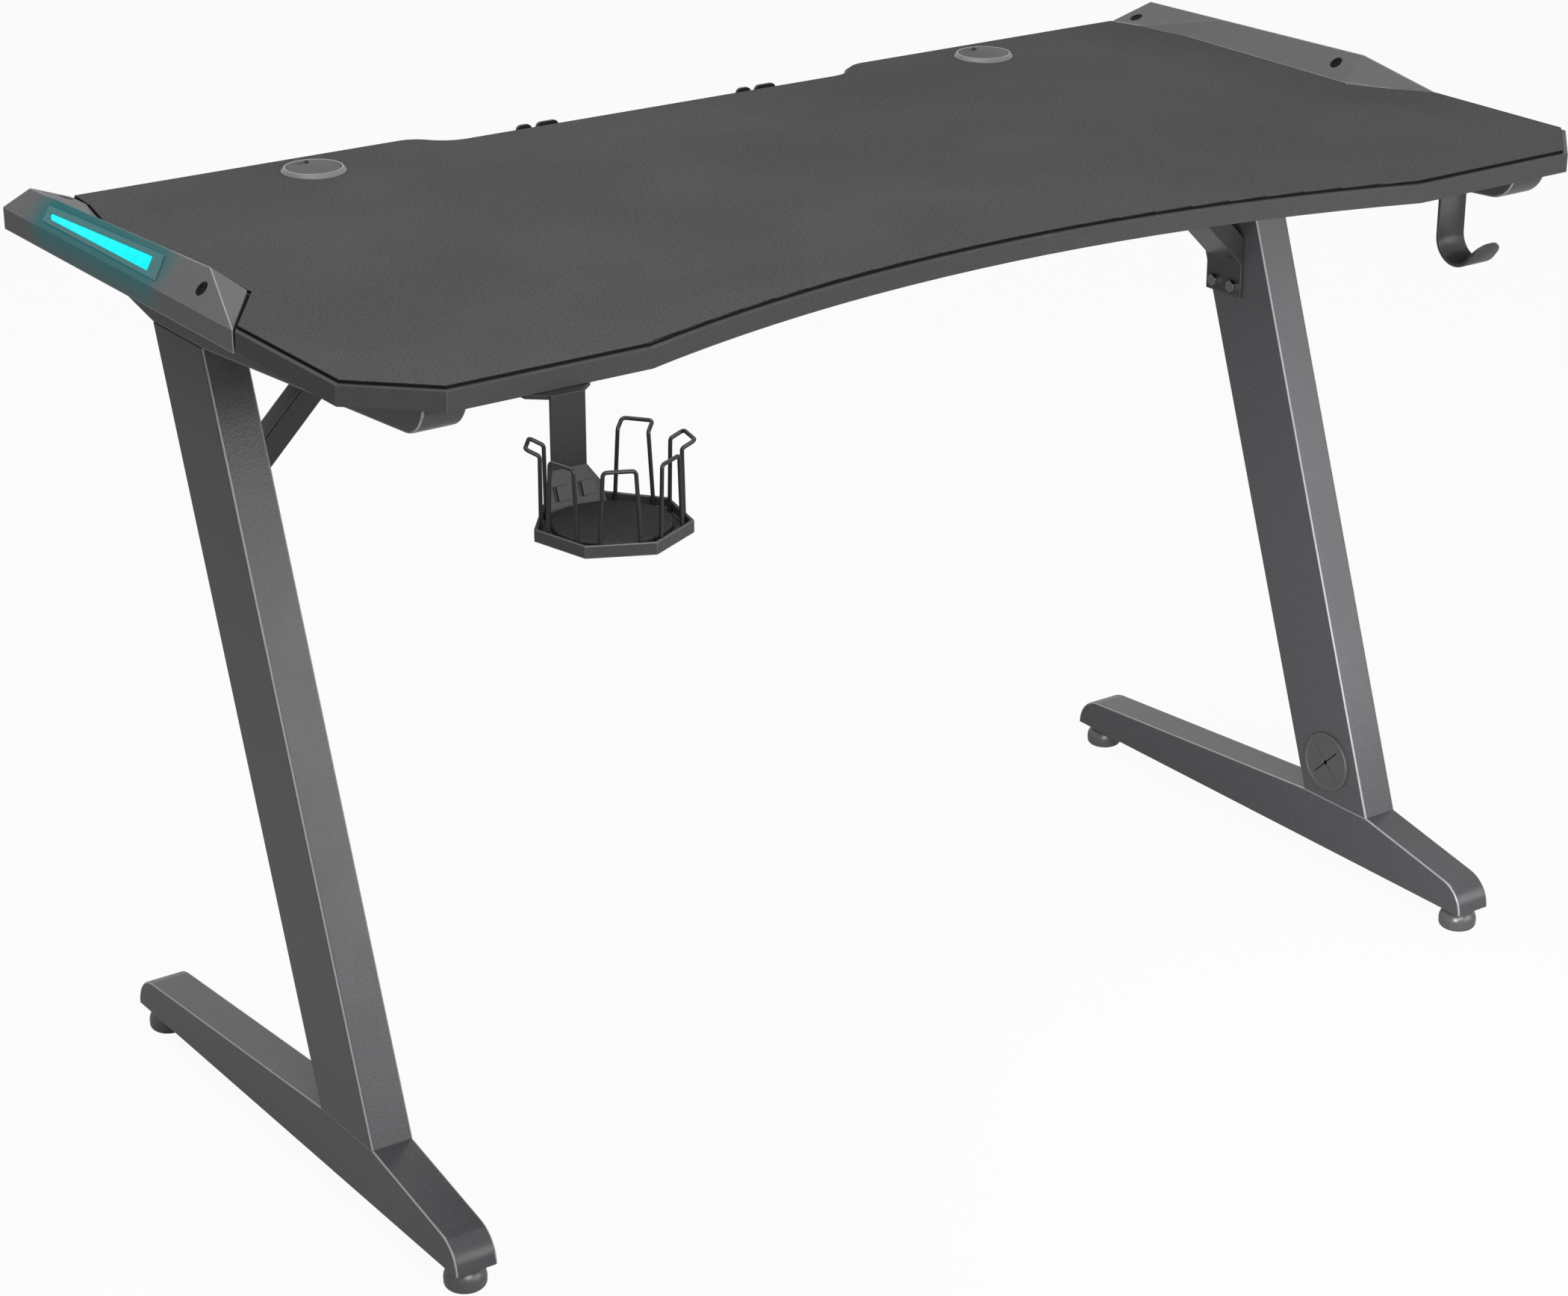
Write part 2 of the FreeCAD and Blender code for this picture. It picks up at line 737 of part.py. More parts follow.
def wing_hollow(corners, wall):
    """The space inside the wing: its plan drawn in by the wall, under a roof lowered by the wall."""
    inner = {}
    plan = [V(corners[name].x, corners[name].y, 0) for name in WING_RIM]
    for index, name in enumerate(WING_RIM):
        before = (plan[index] - plan[index - 1]).normalize()
        after = (plan[(index + 1) % len(plan)] - plan[index]).normalize()
        inwards = (V(before.y, -before.x, 0) + V(after.y, -after.x, 0)).normalize()
        inner[name] = plan[index] + inwards * (wall / inwards.dot(V(after.y, -after.x, 0)))
    for name in ("peak", "crease", "back"):
        inner[name] = V(corners[name].x, corners[name].y, 0)
    for name, spot in inner.items():
        heights = []
        for ring in WING_ROOF:
            if name in ring:
                facet = [corners[corner] for corner in (ring[0], ring[1], ring[-1])]
                normal = (facet[1] - facet[0]).cross(facet[2] - facet[0]).normalize()
                heights.append(on_facet(facet, spot.x, spot.y).z - wall / abs(normal.z))
        spot.z = min(heights)
    low = number(WING_LOW) - 1
    for name in WING_RIM:
        inner[name + "_low"] = V(inner[name].x, inner[name].y, low)
    triangles = []
    for ring in WING_ROOF:
        triangles += [[ring[0], here, there] for here, there in zip(ring[1:], ring[2:])]
    return wing_solid(inner, triangles)


def wing_screw_seats(corners):
    """Seat and outward direction of each countersunk screw in the right wing's facets."""
    side = number(SIDE)
    slope = [corners[name] for name in ("tip", "end", "back")]
    inner = [corners[name] for name in ("peak", "crease", "hip")]
    rear = [corners[name] for name in ("crease", "back", "step")]
    seats = []
    for facet, alias in ((slope, "slope_seat"), (inner, "inner_seat"), (rear, "rear_seat")):
        out = (facet[1] - facet[0]).cross(facet[2] - facet[0])
        out.normalize()
        if out.z < 0:
            out = out * -1
        inward = number(f"dim.{alias}_in")
        seats.append((on_facet(facet, side - inward, number(ahead(alias + "_y"))), out))
    return seats


def bezel_path(grow):
    """The light bezel's outline on the outer slope, as (y, distance up the slope)."""
    return [
        (f"{BEZEL_FRONT} - {grow}", f"dim.bezel_low - {grow}"),
        (f"{BEZEL_REAR} + {grow}", f"dim.bezel_low - {grow}"),
        (f"{BEZEL_REAR} + dim.led_lean / 2 + {grow}", f"dim.bezel_rear_high + {grow}"),
        (f"{BEZEL_FRONT} + dim.led_lean - {grow}", f"dim.bezel_front_high + {grow}"),
    ]


def lens_path(grow):
    return [
        (f"{LENS_FRONT} - {grow}", f"dim.lens_low - {grow}"),
        (f"{LENS_REAR} + {grow}", f"dim.lens_low - {grow}"),
        (f"{LENS_REAR} + dim.led_lean / 2 + {grow}", f"dim.lens_rear_high + {grow}"),
        (f"{LENS_FRONT} + dim.led_lean / 2 - {grow}", f"dim.lens_front_high + {grow}"),
    ]


def on_slope(body):
    """Lay a body on the right wing's outer slope: x along +Y, y up the slope, z out of it."""
    spot = f"vector({SIDE}; 0; {BOARD_TOP})"
    body.setExpression("Placement", f"placement({spot}; rotation(90; 0; atan(dim.wing_slope)))")
    return body


def slope_prism(path, low, high):
    """A prism on the outer slope between two heights, as a plain shape."""
    spots = [V(number(x), number(y), low) for x, y in path]
    prism = Part.Face(Part.makePolygon(spots + spots[:1])).extrude(V(0, 0, high - low))
    turn = FreeCAD.Rotation(90, 0, math.degrees(math.atan(number("dim.wing_slope"))))
    prism.Placement = FreeCAD.Placement(V(number(SIDE), 0, number(BOARD_TOP)), turn)
    return prism


def countersunk(seat, out, grow):
    """A countersunk screw sunk into a facet, or the larger hole for it, which reaches the surface."""
    radius = number("dim.wing_screw_radius") + grow
    head = number("dim.wing_screw_head") + grow
    deep = number("dim.wing_screw_cone")
    length = number("dim.wing_screw_long") + grow
    sink = number("dim.wing_screw_sink")
    top = seat - out * sink
    screw = Part.makeCone(radius, head, deep, top - out * deep, out)
    screw = screw.fuse(Part.makeCylinder(radius, length, top - out * length, out))
    if grow:
        screw = screw.fuse(Part.makeCylinder(head, sink + grow, top, out))
    return screw


def wing():
    corners = wing_corners()
    outside = wing_solid(corners, WING_ROOF)
    low = number(WING_LOW)
    shell = outside.cut(wing_hollow(corners, number("dim.wing_wall")))
    tie_x = number(f"{SIDE} - dim.wing_tie_in")
    high = outside.BoundBox.ZLength
    pilot_radius = number("dim.pilot_radius")
    for y in (number(WING_TIE_FRONT), number(WING_TIE_REAR)):
        post = Part.makeCylinder(number("dim.wing_boss_radius"), high, V(tie_x, y, low)).common(outside)
        pilot = Part.makeCylinder(pilot_radius, number("dim.tie_screw_long"), V(tie_x, y, low))
        shell = shell.fuse(post.cut(pilot))
    seats = wing_screw_seats(corners)
    boss_radius = number("dim.wing_screw_radius + dim.wing_screw_wall")
    boss_long = number("dim.wing_screw_long + dim.wing_screw_wall")
    for seat, out in seats:
        boss = Part.makeCylinder(boss_radius, boss_long, seat - out * boss_long, out).common(outside)
        shell = shell.fuse(boss)
    for seat, out in seats:
        shell = shell.cut(countersunk(seat, out, number("dim.wing_screw_clear")))
    proud = number("dim.lens_thick")
    shell = shell.cut(slope_prism(bezel_path("dim.lens_gap"), -number("dim.bezel_sink"), proud))
    shell = shell.cut(slope_prism(lens_path("dim.lens_gap"), -number("dim.lens_well"), proud))
    clear = number("dim.wing_clear")
    half = number(BEAM_HALF) + clear
    thick = number("dim.tube_thick") + 2 * clear
    corner = V(number(LEG_IN) - clear, -half, number("dim.under_height") - high)
    shell = shell.cut(Part.makeBox(thick, 2 * half, high, corner))
    right = shaped("wing_right", shell.Solids[0])
    mirrored(right, "wing_left")
    screws = [countersunk(seat, out, 0) for seat, out in seats]
    mirrored(shaped("wing_screws_right", Part.makeCompound(screws)), "wing_screws_left")


def lights():
    bezel = on_slope(new_body("led_bezel_right"))
    pad(bezel, "XY_Plane", "-dim.bezel_sink", bezel_path("0"), "dim.bezel_thick")
    cut_path(bezel, "XY_Plane", "-dim.bezel_sink", lens_path("dim.lens_gap / 2"), "dim.bezel_thick")
    mirrored(node(bezel), "led_bezel_left")
    lens = on_slope(new_body("led_lens_right"))
    face = "(dim.bezel_thick - dim.bezel_sink - dim.lens_sink)"
    pad(lens, "XY_Plane", f"{face} - dim.lens_thick", lens_path("0"), "dim.lens_thick")
    mirrored(node(lens), "led_lens_left")
    strip = on_slope(new_body("led_strip_right"))
    low = "dim.lens_low + dim.strip_rise"
    front = f"{LENS_FRONT} + dim.strip_inset"
    board = rectangle(front, low, f"{LENS_REAR} - dim.strip_inset", f"{low} + dim.strip_width")
    pad(strip, "XY_Plane", f"{face} - dim.lens_thick - dim.strip_thick", board, "dim.strip_thick")
    mirrored(node(strip), "led_strip_left")


def wing_brackets():
    """Two steel angles on the top beam's outer face that carry the wing, and their screws."""
    wall = number("dim.angle_wall")
    wide = number("dim.angle_wide")
    high = number("dim.angle_high")
    out = number(LEG_OUT)
    low = number(WING_LOW)
    bolt_z = low - number("dim.angle_bolt_low")
    tie_x = number(f"{SIDE} - dim.wing_tie_in")
    reach = tie_x + number("dim.angle_toe") - out
    screw = number("dim.screw_radius")
    screw_long = number("dim.tie_screw_long")
    bolt = number("dim.tie_bolt_radius")
    spots = [number(WING_TIE_FRONT), number(WING_TIE_REAR)]
    spread = number("dim.angle_bolt")
    angles = []
    for y in spots:
        upright = Part.makeBox(wall, wide, high, V(out, y - wide / 2, low - high))
        shelf = Part.makeBox(reach, wide, wall, V(out, y - wide / 2, low - wall))
        angle = upright.fuse(shelf).removeSplitter()
        hole = number("dim.screw_radius + dim.screw_clear")
        angle = angle.cut(Part.makeCylinder(hole, wall, V(tie_x, y, low - wall)))
        for across in (-spread, spread):
            seat = V(out, y + across, bolt_z)
            angle = angle.cut(Part.makeCylinder(bolt + number("dim.bolt_clear"), wall, seat, V(1, 0, 0)))
        angles.append(angle)
    mirrored(shaped("wing_bracket_right", Part.makeCompound(angles)), "wing_bracket_left")
    screws = []
    for hand in (-1, 1):
        for y in spots:
            screws.append(pan_screw(V(hand * tie_x, y, low - wall), V(0, 0, 1), screw, screw_long))
            for across in (-spread, spread):
                seat = V(hand * (out + wall), y + across, bolt_z)
                screws.append(pan_screw(seat, V(-hand, 0, 0), bolt, number("dim.tie_bolt_long")))
    shaped("wing_bracket_screws", Part.makeCompound(screws))


# Fasteners


def pan_screw(seat, into, radius, length):
    """A pan-head screw whose head rests on the seat and whose shank points along 'into'."""
    high = radius * 1.3
    head = Part.makeCone(radius * 1.5, radius * 2, high, seat - into * high, into)
    shank = Part.makeCylinder(radius, length, seat - into * number("dim.head_sink"), into)
    socket = Part.makeCylinder(radius * 0.7, high * 0.5, seat - into * high, into)
    return head.fuse(shank).cut(socket).removeSplitter()


def hexagon(across, high, seat, into):
    """A hexagonal block that stands on the seat and grows along 'into'."""
    turn = FreeCAD.Rotation(V(0, 0, 1), into)
    reach = across / math.sqrt(3)
    ring = [V(reach * math.cos(k * math.pi / 3), reach * math.sin(k * math.pi / 3), 0) for k in range(6)]
    block = Part.Face(Part.makePolygon(ring + ring[:1])).extrude(V(0, 0, high))
    block.Placement = FreeCAD.Placement(seat, turn)
    return block


def hex_bolt(seat, into, radius, length):
    """A hexagon-head bolt whose head rests on the seat and whose shank points along 'into'."""
    high = radius * 1.3
    head = hexagon(radius * 3.4, high, seat - into * high, into)
    shank = Part.makeCylinder(radius, length, seat - into * number("dim.head_sink"), into)
    return head.fuse(shank).removeSplitter()


def screws_up(label, spots, seat_z):
    """Pan-head screws driven upwards at plan spots given in expressions."""
    radius = number("dim.screw_radius")
    length = number("dim.screw_long")
    seats = [V(number(x), number(y), number(seat_z)) for x, y in spots]
    shaped(label, Part.makeCompound([pan_screw(seat, V(0, 0, 1), radius, length) for seat in seats]))


# Leg frames


def beam_path(base, way, flat_y, wall):
    """Side outline of a tapered beam that rises (+) or hangs (-) from a base height.

    Each end is a round nose that runs smoothly into the slope up to the flat.
    """
    turn = "left" if way == "+" else "right"
    radius = f"(dim.nose_radius - {wall})"
    deep = f"(dim.beam_deep - {wall})"
    middle = f"({BEAM_HALF} - dim.nose_radius)"
    toe = f"({middle} + sqrt({radius} ^ 2 - {wall} ^ 2))"
    low = f"({base} {way} {wall})"
    high = f"({base} {way} {deep})"
    brows = []
    for end in (-1, 1):
        back = f"({end} * {flat_y} + {COLUMN_HALF} - {middle})"
        angle = f"(atan2({deep}; {back}) - acos({radius} / sqrt({back} ^ 2 + {deep} ^ 2)))"
        reach = f"{end} * ({middle} + {radius} * cos({angle}))"
        brows.append((reach, f"{base} {way} {radius} * sin({angle})"))
    return [
        (f"-{toe}", low),
        (toe, low, radius, turn),
        brows[1],
        (f"{flat_y} + {COLUMN_HALF}", high),
        (f"{flat_y} - {COLUMN_HALF}", high),
        brows[0] + (radius, turn),
    ]


def beam(label, base, way, flat_y, inside_low):
    """A hollow tapered beam with a cable window where the column meets it."""
    body = new_body(label)
    pad(body, "YZ_Plane", LEG_IN, beam_path(base, way, flat_y, "0"), "dim.tube_thick")
    round_edges(body, climbing_side, "dim.tube_round")
    inside = beam_path(base, way, flat_y, "dim.steel_wall")
    cut_path(body, "YZ_Plane", f"{LEG_IN} + dim.steel_wall", inside, "dim.tube_thick - 2 * dim.steel_wall")
    half = "(dim.tube_thick / 2 - 3 * dim.steel_wall)"
    reach = f"({COLUMN_HALF} - 4 * dim.steel_wall)"
    window = rectangle(
        f"{LEG_X} - {half}", f"{flat_y} - {reach}", f"{LEG_X} + {half}", f"{flat_y} + {reach}"
    )
    cut_path(body, "XY_Plane", inside_low, window, "dim.steel_wall")
    return body


def leg():
    foot = beam("foot_right", "dim.foot_lift", "+", "dim.foot_y", f"{FOOT_TOP} - dim.steel_wall")
    studs = [(LEG_X, f"{end} * {GLIDE_Y}") for end in (-1, 1)]
    hole = "dim.stud_radius + dim.stud_gap"
    cut_circles(foot, "XY_Plane", "dim.foot_lift", studs, hole, "dim.steel_wall")
    mirrored(node(foot), "foot_left")
    top = beam("top_beam_right", "dim.under_height", "-", "dim.head_y", HEAD_LOW)
    spots = [(LEG_X, f"{end} * {BEAM_SCREW_Y}") for end in (-1, 1)]
    top_wall = "dim.under_height - dim.steel_wall"
    cut_circles(top, "XY_Plane", top_wall, spots, "dim.screw_radius + dim.screw_clear", "dim.steel_wall")
    cut_circles(top, "XY_Plane", HEAD_LOW, spots, "dim.driver_hole", "dim.beam_deep - dim.driver_stop")
    hole = "dim.cross_bolt_radius + dim.bolt_clear"
    cut_circles(top, "YZ_Plane", LEG_IN, cross_bolt_spots(), hole, "dim.steel_wall")
    tie_z = f"{WING_LOW} - dim.angle_bolt_low"
    ties = []
    for tie in (WING_TIE_FRONT, WING_TIE_REAR):
        ties += [(f"{tie} + {end} * dim.angle_bolt", tie_z) for end in (-1, 1)]
    hole = "dim.tie_bolt_radius + dim.bolt_clear"
    cut_circles(top, "YZ_Plane", f"{LEG_OUT} - dim.steel_wall", ties, hole, "dim.steel_wall")
    mirrored(node(top), "top_beam_left")
    column = new_body("column_right")
    for wall in ("0", "dim.steel_wall"):
        half = f"({COLUMN_HALF} - {wall} * sqrt(1 + {LEAN} ^ 2))"
        outline = [
            (f"dim.foot_y - {half}", FOOT_TOP),
            (f"dim.foot_y + {half}", FOOT_TOP),
            (f"dim.head_y + {half}", HEAD_LOW),
            (f"dim.head_y - {half}", HEAD_LOW),
        ]
        if wall == "0":
            pad(column, "YZ_Plane", LEG_IN, outline, "dim.tube_thick")
            round_edges(column, climbing_side, "dim.tube_round")
        else:
            cut_path(column, "YZ_Plane", f"{LEG_IN} + {wall}", outline, f"dim.tube_thick - 2 * {wall}")
    cut_circles(column, "YZ_Plane", LEG_IN, [(PORT_Y, PORT_Z)], "dim.port_hole", "dim.steel_wall")
    hole = "dim.brace_bolt_radius + dim.bolt_clear"
    cut_circles(column, "YZ_Plane", LEG_IN, brace_bolt_spots(), hole, "dim.steel_wall")
    mirrored(node(column), "column_left")


def cable_port():
    """Rubber cover with crossed slits, pressed into the column's inner face."""
    body = new_body("cable_port_right")
    rim = "dim.port_radius"
    hole = "dim.port_hole"
    revolve(
        body,
        [
            ("0", "dim.port_skin"),
            (f"{hole} - dim.port_wall", "dim.port_skin"),
            (f"{hole} - dim.port_wall", "-dim.port_deep"),
            (f"{hole} - dim.port_gap", "-dim.port_deep"),
            (f"{hole} - dim.port_gap", "0"),
            (rim, "0"),
            (rim, "dim.port_edge", "dim.port_edge * 1.07", "left"),
            (f"{rim} - dim.port_edge", "dim.port_rim"),
            (f"{hole} + dim.port_step", "dim.port_rim"),
            (f"{hole} - dim.port_step", "dim.port_face"),
            ("0", "dim.port_face"),
        ],
    )
    near = "(dim.slit_half - dim.slit_width / 2) / sqrt(2)"
    far = "(dim.slit_half + dim.slit_width / 2) / sqrt(2)"
    rising = [(near, far), (f"-{far}", f"-{near}"), (f"-{near}", f"-{far}"), (far, near)]
    cut_path(body, "XY_Plane", "0", rising, "dim.port_rim")
    cut_path(body, "XY_Plane", "0", flipped(rising), "dim.port_rim")
    cut_circles(body, "XY_Plane", "0", [("0", "0")], "dim.slit_eye", "dim.port_rim")
    spot = f"vector({LEG_IN}; {PORT_Y}; {PORT_Z})"
    body.setExpression("Placement", f"placement({spot}; rotation(0; -90; 0))")
    doc.recompute()
    mirrored(node(body), "cable_port_left")


def cross_bolt_spots():
    """Bolts of the crossbeam's end plates, as (y, z)."""
    half = "(dim.cross_deep + dim.plate_ear) / 2"
    return [(f"{CROSS_Y} + {end} * {half}", CROSS_BOLT_Z) for end in (-1, 1)]


def crossbeam():
    body = new_body("crossbeam")
    front = f"({CROSS_Y} - dim.cross_deep / 2)"
    rear = f"({CROSS_Y} + dim.cross_deep / 2)"
    tube = rectangle(front, CROSS_LOW, rear, "dim.under_height")
    bore = rectangle(
        f"{front} + dim.steel_wall",
        f"{CROSS_LOW} + dim.steel_wall",
        f"{rear} - dim.steel_wall",
        "dim.under_height - dim.steel_wall",
    )
    plate = rectangle(f"{front} - dim.plate_ear", CROSS_LOW, f"{rear} + dim.plate_ear", "dim.under_height")
    pad(body, "YZ_Plane", f"-{LEG_IN}", tube, f"2 * {LEG_IN}")
    for start in (f"-{LEG_IN}", f"{LEG_IN} - dim.plate_thick"):
        pad(body, "YZ_Plane", start, plate, "dim.plate_thick")
    cut_path(body, "YZ_Plane", f"-{LEG_IN}", bore, f"2 * {LEG_IN}")
    bolts = cross_bolt_spots()
    hole = "dim.cross_bolt_radius + dim.bolt_clear"
    for start in (f"-{LEG_IN}", f"{LEG_IN} - dim.plate_thick"):
        cut_circles(body, "YZ_Plane", start, bolts, hole, "dim.plate_thick")
    ties = [(f"{hand} * ({x})", y) for hand in (-1, 1) for x, y in brace_tab_spots()]
    hole = "dim.brace_bolt_radius + dim.bolt_clear"
    cut_circles(body, "XY_Plane", CROSS_LOW, ties, hole, "dim.steel_wall")
    node(body)
    seats = [V(number(f"{LEG_IN} - dim.plate_thick"), number(y), number(z)) for y, z in bolts]
    radius = number("dim.cross_bolt_radius")
    length = number("dim.cross_bolt_long")
    shafts = []
    for hand in (-1, 1):
        for seat in seats:
            shafts.append(hex_bolt(V(hand * seat.x, seat.y, seat.z), V(hand, 0, 0), radius, length))
    shaped("crossbeam_bolts", Part.makeCompound(shafts))


def brace_bolt_spots():
    """Column bolts of the right brace, as (y, z)."""
    return [(f"{BRACE_MIDDLE} + {end} * dim.brace_bolt_half", BRACE_BOLT_Z) for end in (-1, 1)]


def brace_tab_spots():
    """Crossbeam bolts of the right brace, as (x, y)."""
    bend = f"({LEG_IN} + {BRACE_ROOT} - {CROSS_LOW})"
    x = f"{bend} - dim.brace_tab / 2"
    return [(x, f"{BRACE_MIDDLE} + {end} * dim.brace_tab_half") for end in (-1, 1)]


def brace():
    """A bent-sheet strut from the column's inner face to the crossbeam's underside, at 45 degrees."""
    body = new_body("brace_right")
    thick = "dim.sheet_thick"
    outer = f"({LEG_IN} + {BRACE_ROOT})"
    inner = f"({outer} - {thick} * sqrt(2))"
    bend = f"({outer} - {CROSS_LOW})"
    profile = [
        (LEG_IN, BRACE_LOW),
        (LEG_IN, BRACE_ROOT),
        (bend, CROSS_LOW),
        (f"{bend} - dim.brace_tab", CROSS_LOW),
        (f"{bend} - dim.brace_tab", f"{CROSS_LOW} - {thick}"),
        (f"{inner} - {CROSS_LOW} + {thick}", f"{CROSS_LOW} - {thick}"),
        (f"{LEG_IN} - {thick}", f"{inner} - {LEG_IN} + {thick}"),
        (f"{LEG_IN} - {thick}", BRACE_LOW),
    ]
    pad(body, "XZ_Plane", f"-({BRACE_FRONT} + dim.brace_width)", profile, "dim.brace_width")
    crest = f"({inner} + dim.brace_lip * sqrt(2))"
    clear = f"({LEG_IN} - dim.brace_gap)"
    roof = f"({CROSS_LOW} - dim.brace_gap)"
    lip = [
        (clear, f"{inner} - {clear}"),
        (clear, f"{crest} - {clear}"),
        (f"{crest} - {roof}", roof),
        (f"{inner} - {roof}", roof),
    ]
    pad(body, "XZ_Plane", f"-({BRACE_FRONT} + {thick})", lip, thick)
    hole = "dim.brace_bolt_radius + dim.bolt_clear"
    cut_circles(body, "YZ_Plane", f"{LEG_IN} - {thick}", brace_bolt_spots(), hole, thick)
    cut_circles(body, "XY_Plane", f"{CROSS_LOW} - {thick}", brace_tab_spots(), hole, thick)
    mirrored(node(body), "brace_left")
    face = number(f"{LEG_IN} - {thick}")
    column_seats = [V(face, number(y), number(z)) for y, z in brace_bolt_spots()]
    beam_seats = [V(number(x), number(y), number(f"{CROSS_LOW} - {thick}")) for x, y in brace_tab_spots()]
    radius = number("dim.brace_bolt_radius")
    length = number("dim.brace_bolt_long")
    column_bolts = []
    beam_bolts = []
    for hand in (-1, 1):
        for seat in column_seats:
            column_bolts.append(hex_bolt(V(hand * seat.x, seat.y, seat.z), V(hand, 0, 0), radius, length))
        for seat in beam_seats:
            beam_bolts.append(hex_bolt(V(hand * seat.x, seat.y, seat.z), V(0, 0, 1), radius, length))
    shaped("brace_column_bolts", Part.makeCompound(column_bolts))
    shaped("brace_beam_bolts", Part.makeCompound(beam_bolts))


# Glides


def glides():
    """Levelling glides: a rounded pad on a stud that screws into a nut in the foot."""
    top = "(dim.foot_lift - dim.glide_gap)"
    stud = "dim.stud_radius"
    socket = f"({top} - dim.stud_deep)"
    nut_high = number("dim.nut_high")
    nuts = []
    for hand, side in ((-1, "left"), (1, "right")):
        for end, where in ((-1, "front"), (1, "rear")):
            spot = (f"{hand} * {LEG_X}", f"{end} * {GLIDE_Y}", "0")
            glide = new_body(f"glide_pad_{where}_{side}")
            revolve(
                glide,
                [
                    ("0", "0"),
                    ("dim.glide_radius - dim.glide_edge", "0", "dim.glide_edge * 1.1", "left"),
                    ("dim.glide_radius", "dim.glide_edge"),
                    ("dim.glide_radius", "dim.glide_wall", "dim.glide_dome", "left"),
                    ("dim.glide_neck", "dim.glide_shoulder"),
                    ("dim.glide_neck", top),
                    (stud, top),
                    (stud, socket),
                    ("0", socket),
                ],
            )
            place(node(glide), *spot)
            rod = new_body(f"glide_stud_{where}_{side}")
            revolve(
                rod,
                [
                    ("0", socket),
                    (stud, socket),
                    (stud, f"{STUD_TOP} - dim.stud_tip"),
                    (f"{stud} - dim.stud_tip", STUD_TOP),
                    ("0", STUD_TOP),
                ],
            )
            place(node(rod), *spot)
            seat = V(number(spot[0]), number(spot[1]), number("dim.foot_lift + dim.steel_wall"))
            nut = hexagon(number("dim.nut_across"), nut_high, seat, V(0, 0, 1))
            nuts.append(nut.cut(Part.makeCylinder(number(f"{stud} + dim.nut_gap"), nut_high, seat)))
    shaped("glide_nuts", Part.makeCompound(nuts))


# Cable grommets


def grommets():
    """A flanged liner through the board with a notched cap that turns on its ledge."""
    bore = "dim.grommet_bore"
    rim = "dim.grommet_flange"
    high = "dim.grommet_high"
    outer = f"({bore} + dim.liner_wall)"
    lip = f"({bore} - dim.liner_ledge)"
    ledge = f"({high} - dim.cap_thick - dim.cap_gap)"
    ledge_low = f"({ledge} - dim.ledge_thick)"
    depth = "(dim.board_thick + dim.mat_thick + dim.liner_below)"
    cap_radius = f"({bore} - dim.cap_clear)"
    half = "(dim.notch_width / 2)"
    root = f"({cap_radius} - dim.notch_deep + {half})"
    for hand, side in ((-1, "left"), (1, "right")):
        spot = (f"{hand} * {GROMMET_X}", GROMMET_Y, MAT_TOP)
        liner = new_body(f"grommet_liner_{side}")
        revolve(
            liner,
            [
                (bore, f"-{depth}"),
                (outer, f"-{depth}"),
                (outer, "0"),
                (rim, "0"),
                (rim, "dim.flange_lip"),
                (f"{rim} - dim.flange_bevel", high),
                (bore, high),
                (bore, ledge),
                (lip, ledge),
                (lip, ledge_low),
                (bore, ledge_low),
            ],
        )
        place(node(liner), *spot)
        cap = new_body(f"grommet_cap_{side}")
        revolve(
            cap,
            [
                ("0", f"{high} - dim.cap_thick"),
                (cap_radius, f"{high} - dim.cap_thick"),
                (cap_radius, f"{high} - dim.cap_bevel"),
                (f"{cap_radius} - dim.cap_bevel", high),
                ("0", high),
            ],
        )
        bow = f"{half} * 1.02"
        notch = [(rim, f"-{half}"), (rim, half), (root, half, bow, "left"), (root, f"-{half}")]
        turned = []
        for step in notch:
            across = f"({step[0]} * cos(dim.notch_turn) - {step[1]} * sin(dim.notch_turn))"
            along = f"({step[0]} * sin(dim.notch_turn) + {step[1]} * cos(dim.notch_turn))"
            turned.append((across, along) + step[2:])
        cut_path(cap, "XY_Plane", f"{high} - dim.cap_thick", turned, "dim.cap_thick")
        place(node(cap), *spot)


# Cup holder


def heptagon(radius):
    """The dish's outline: seven sides, a corner to the front and a flat side to the rear."""
    corners = []
    for index in range(7):
        angle = -90 + DISH_TURN * index
        corners.append((f"{CUP_X} + {radius} * cos({angle})", f"{CUP_Y} + {radius} * sin({angle})"))
    return corners


def bent_wire(corners, bend, radius):
    """A round wire through corner points, with an arc of one radius at each inner corner."""
    edges = []
    start = corners[0]
    for before, corner, after in zip(corners, corners[1:], corners[2:]):
        back = (before - corner).normalize()
        on = (after - corner).normalize()
        half_angle = back.getAngle(on) / 2
        reach = bend / math.tan(half_angle)
        entry = corner + back * reach
        leave = corner + on * reach
        centre = corner + (back + on).normalize() * (bend / math.sin(half_angle))
        middle = centre + (corner - centre).normalize() * bend
        edges.append(Part.makeLine(start, entry))
        edges.append(Part.Arc(entry, middle, leave).toShape())
        start = leave
    edges.append(Part.makeLine(start, corners[-1]))
    spine = Part.Wire(edges)
    ring = Part.Wire(Part.makeCircle(radius, corners[0], corners[1] - corners[0]))
    return spine.makePipeShell([ring], True, False)


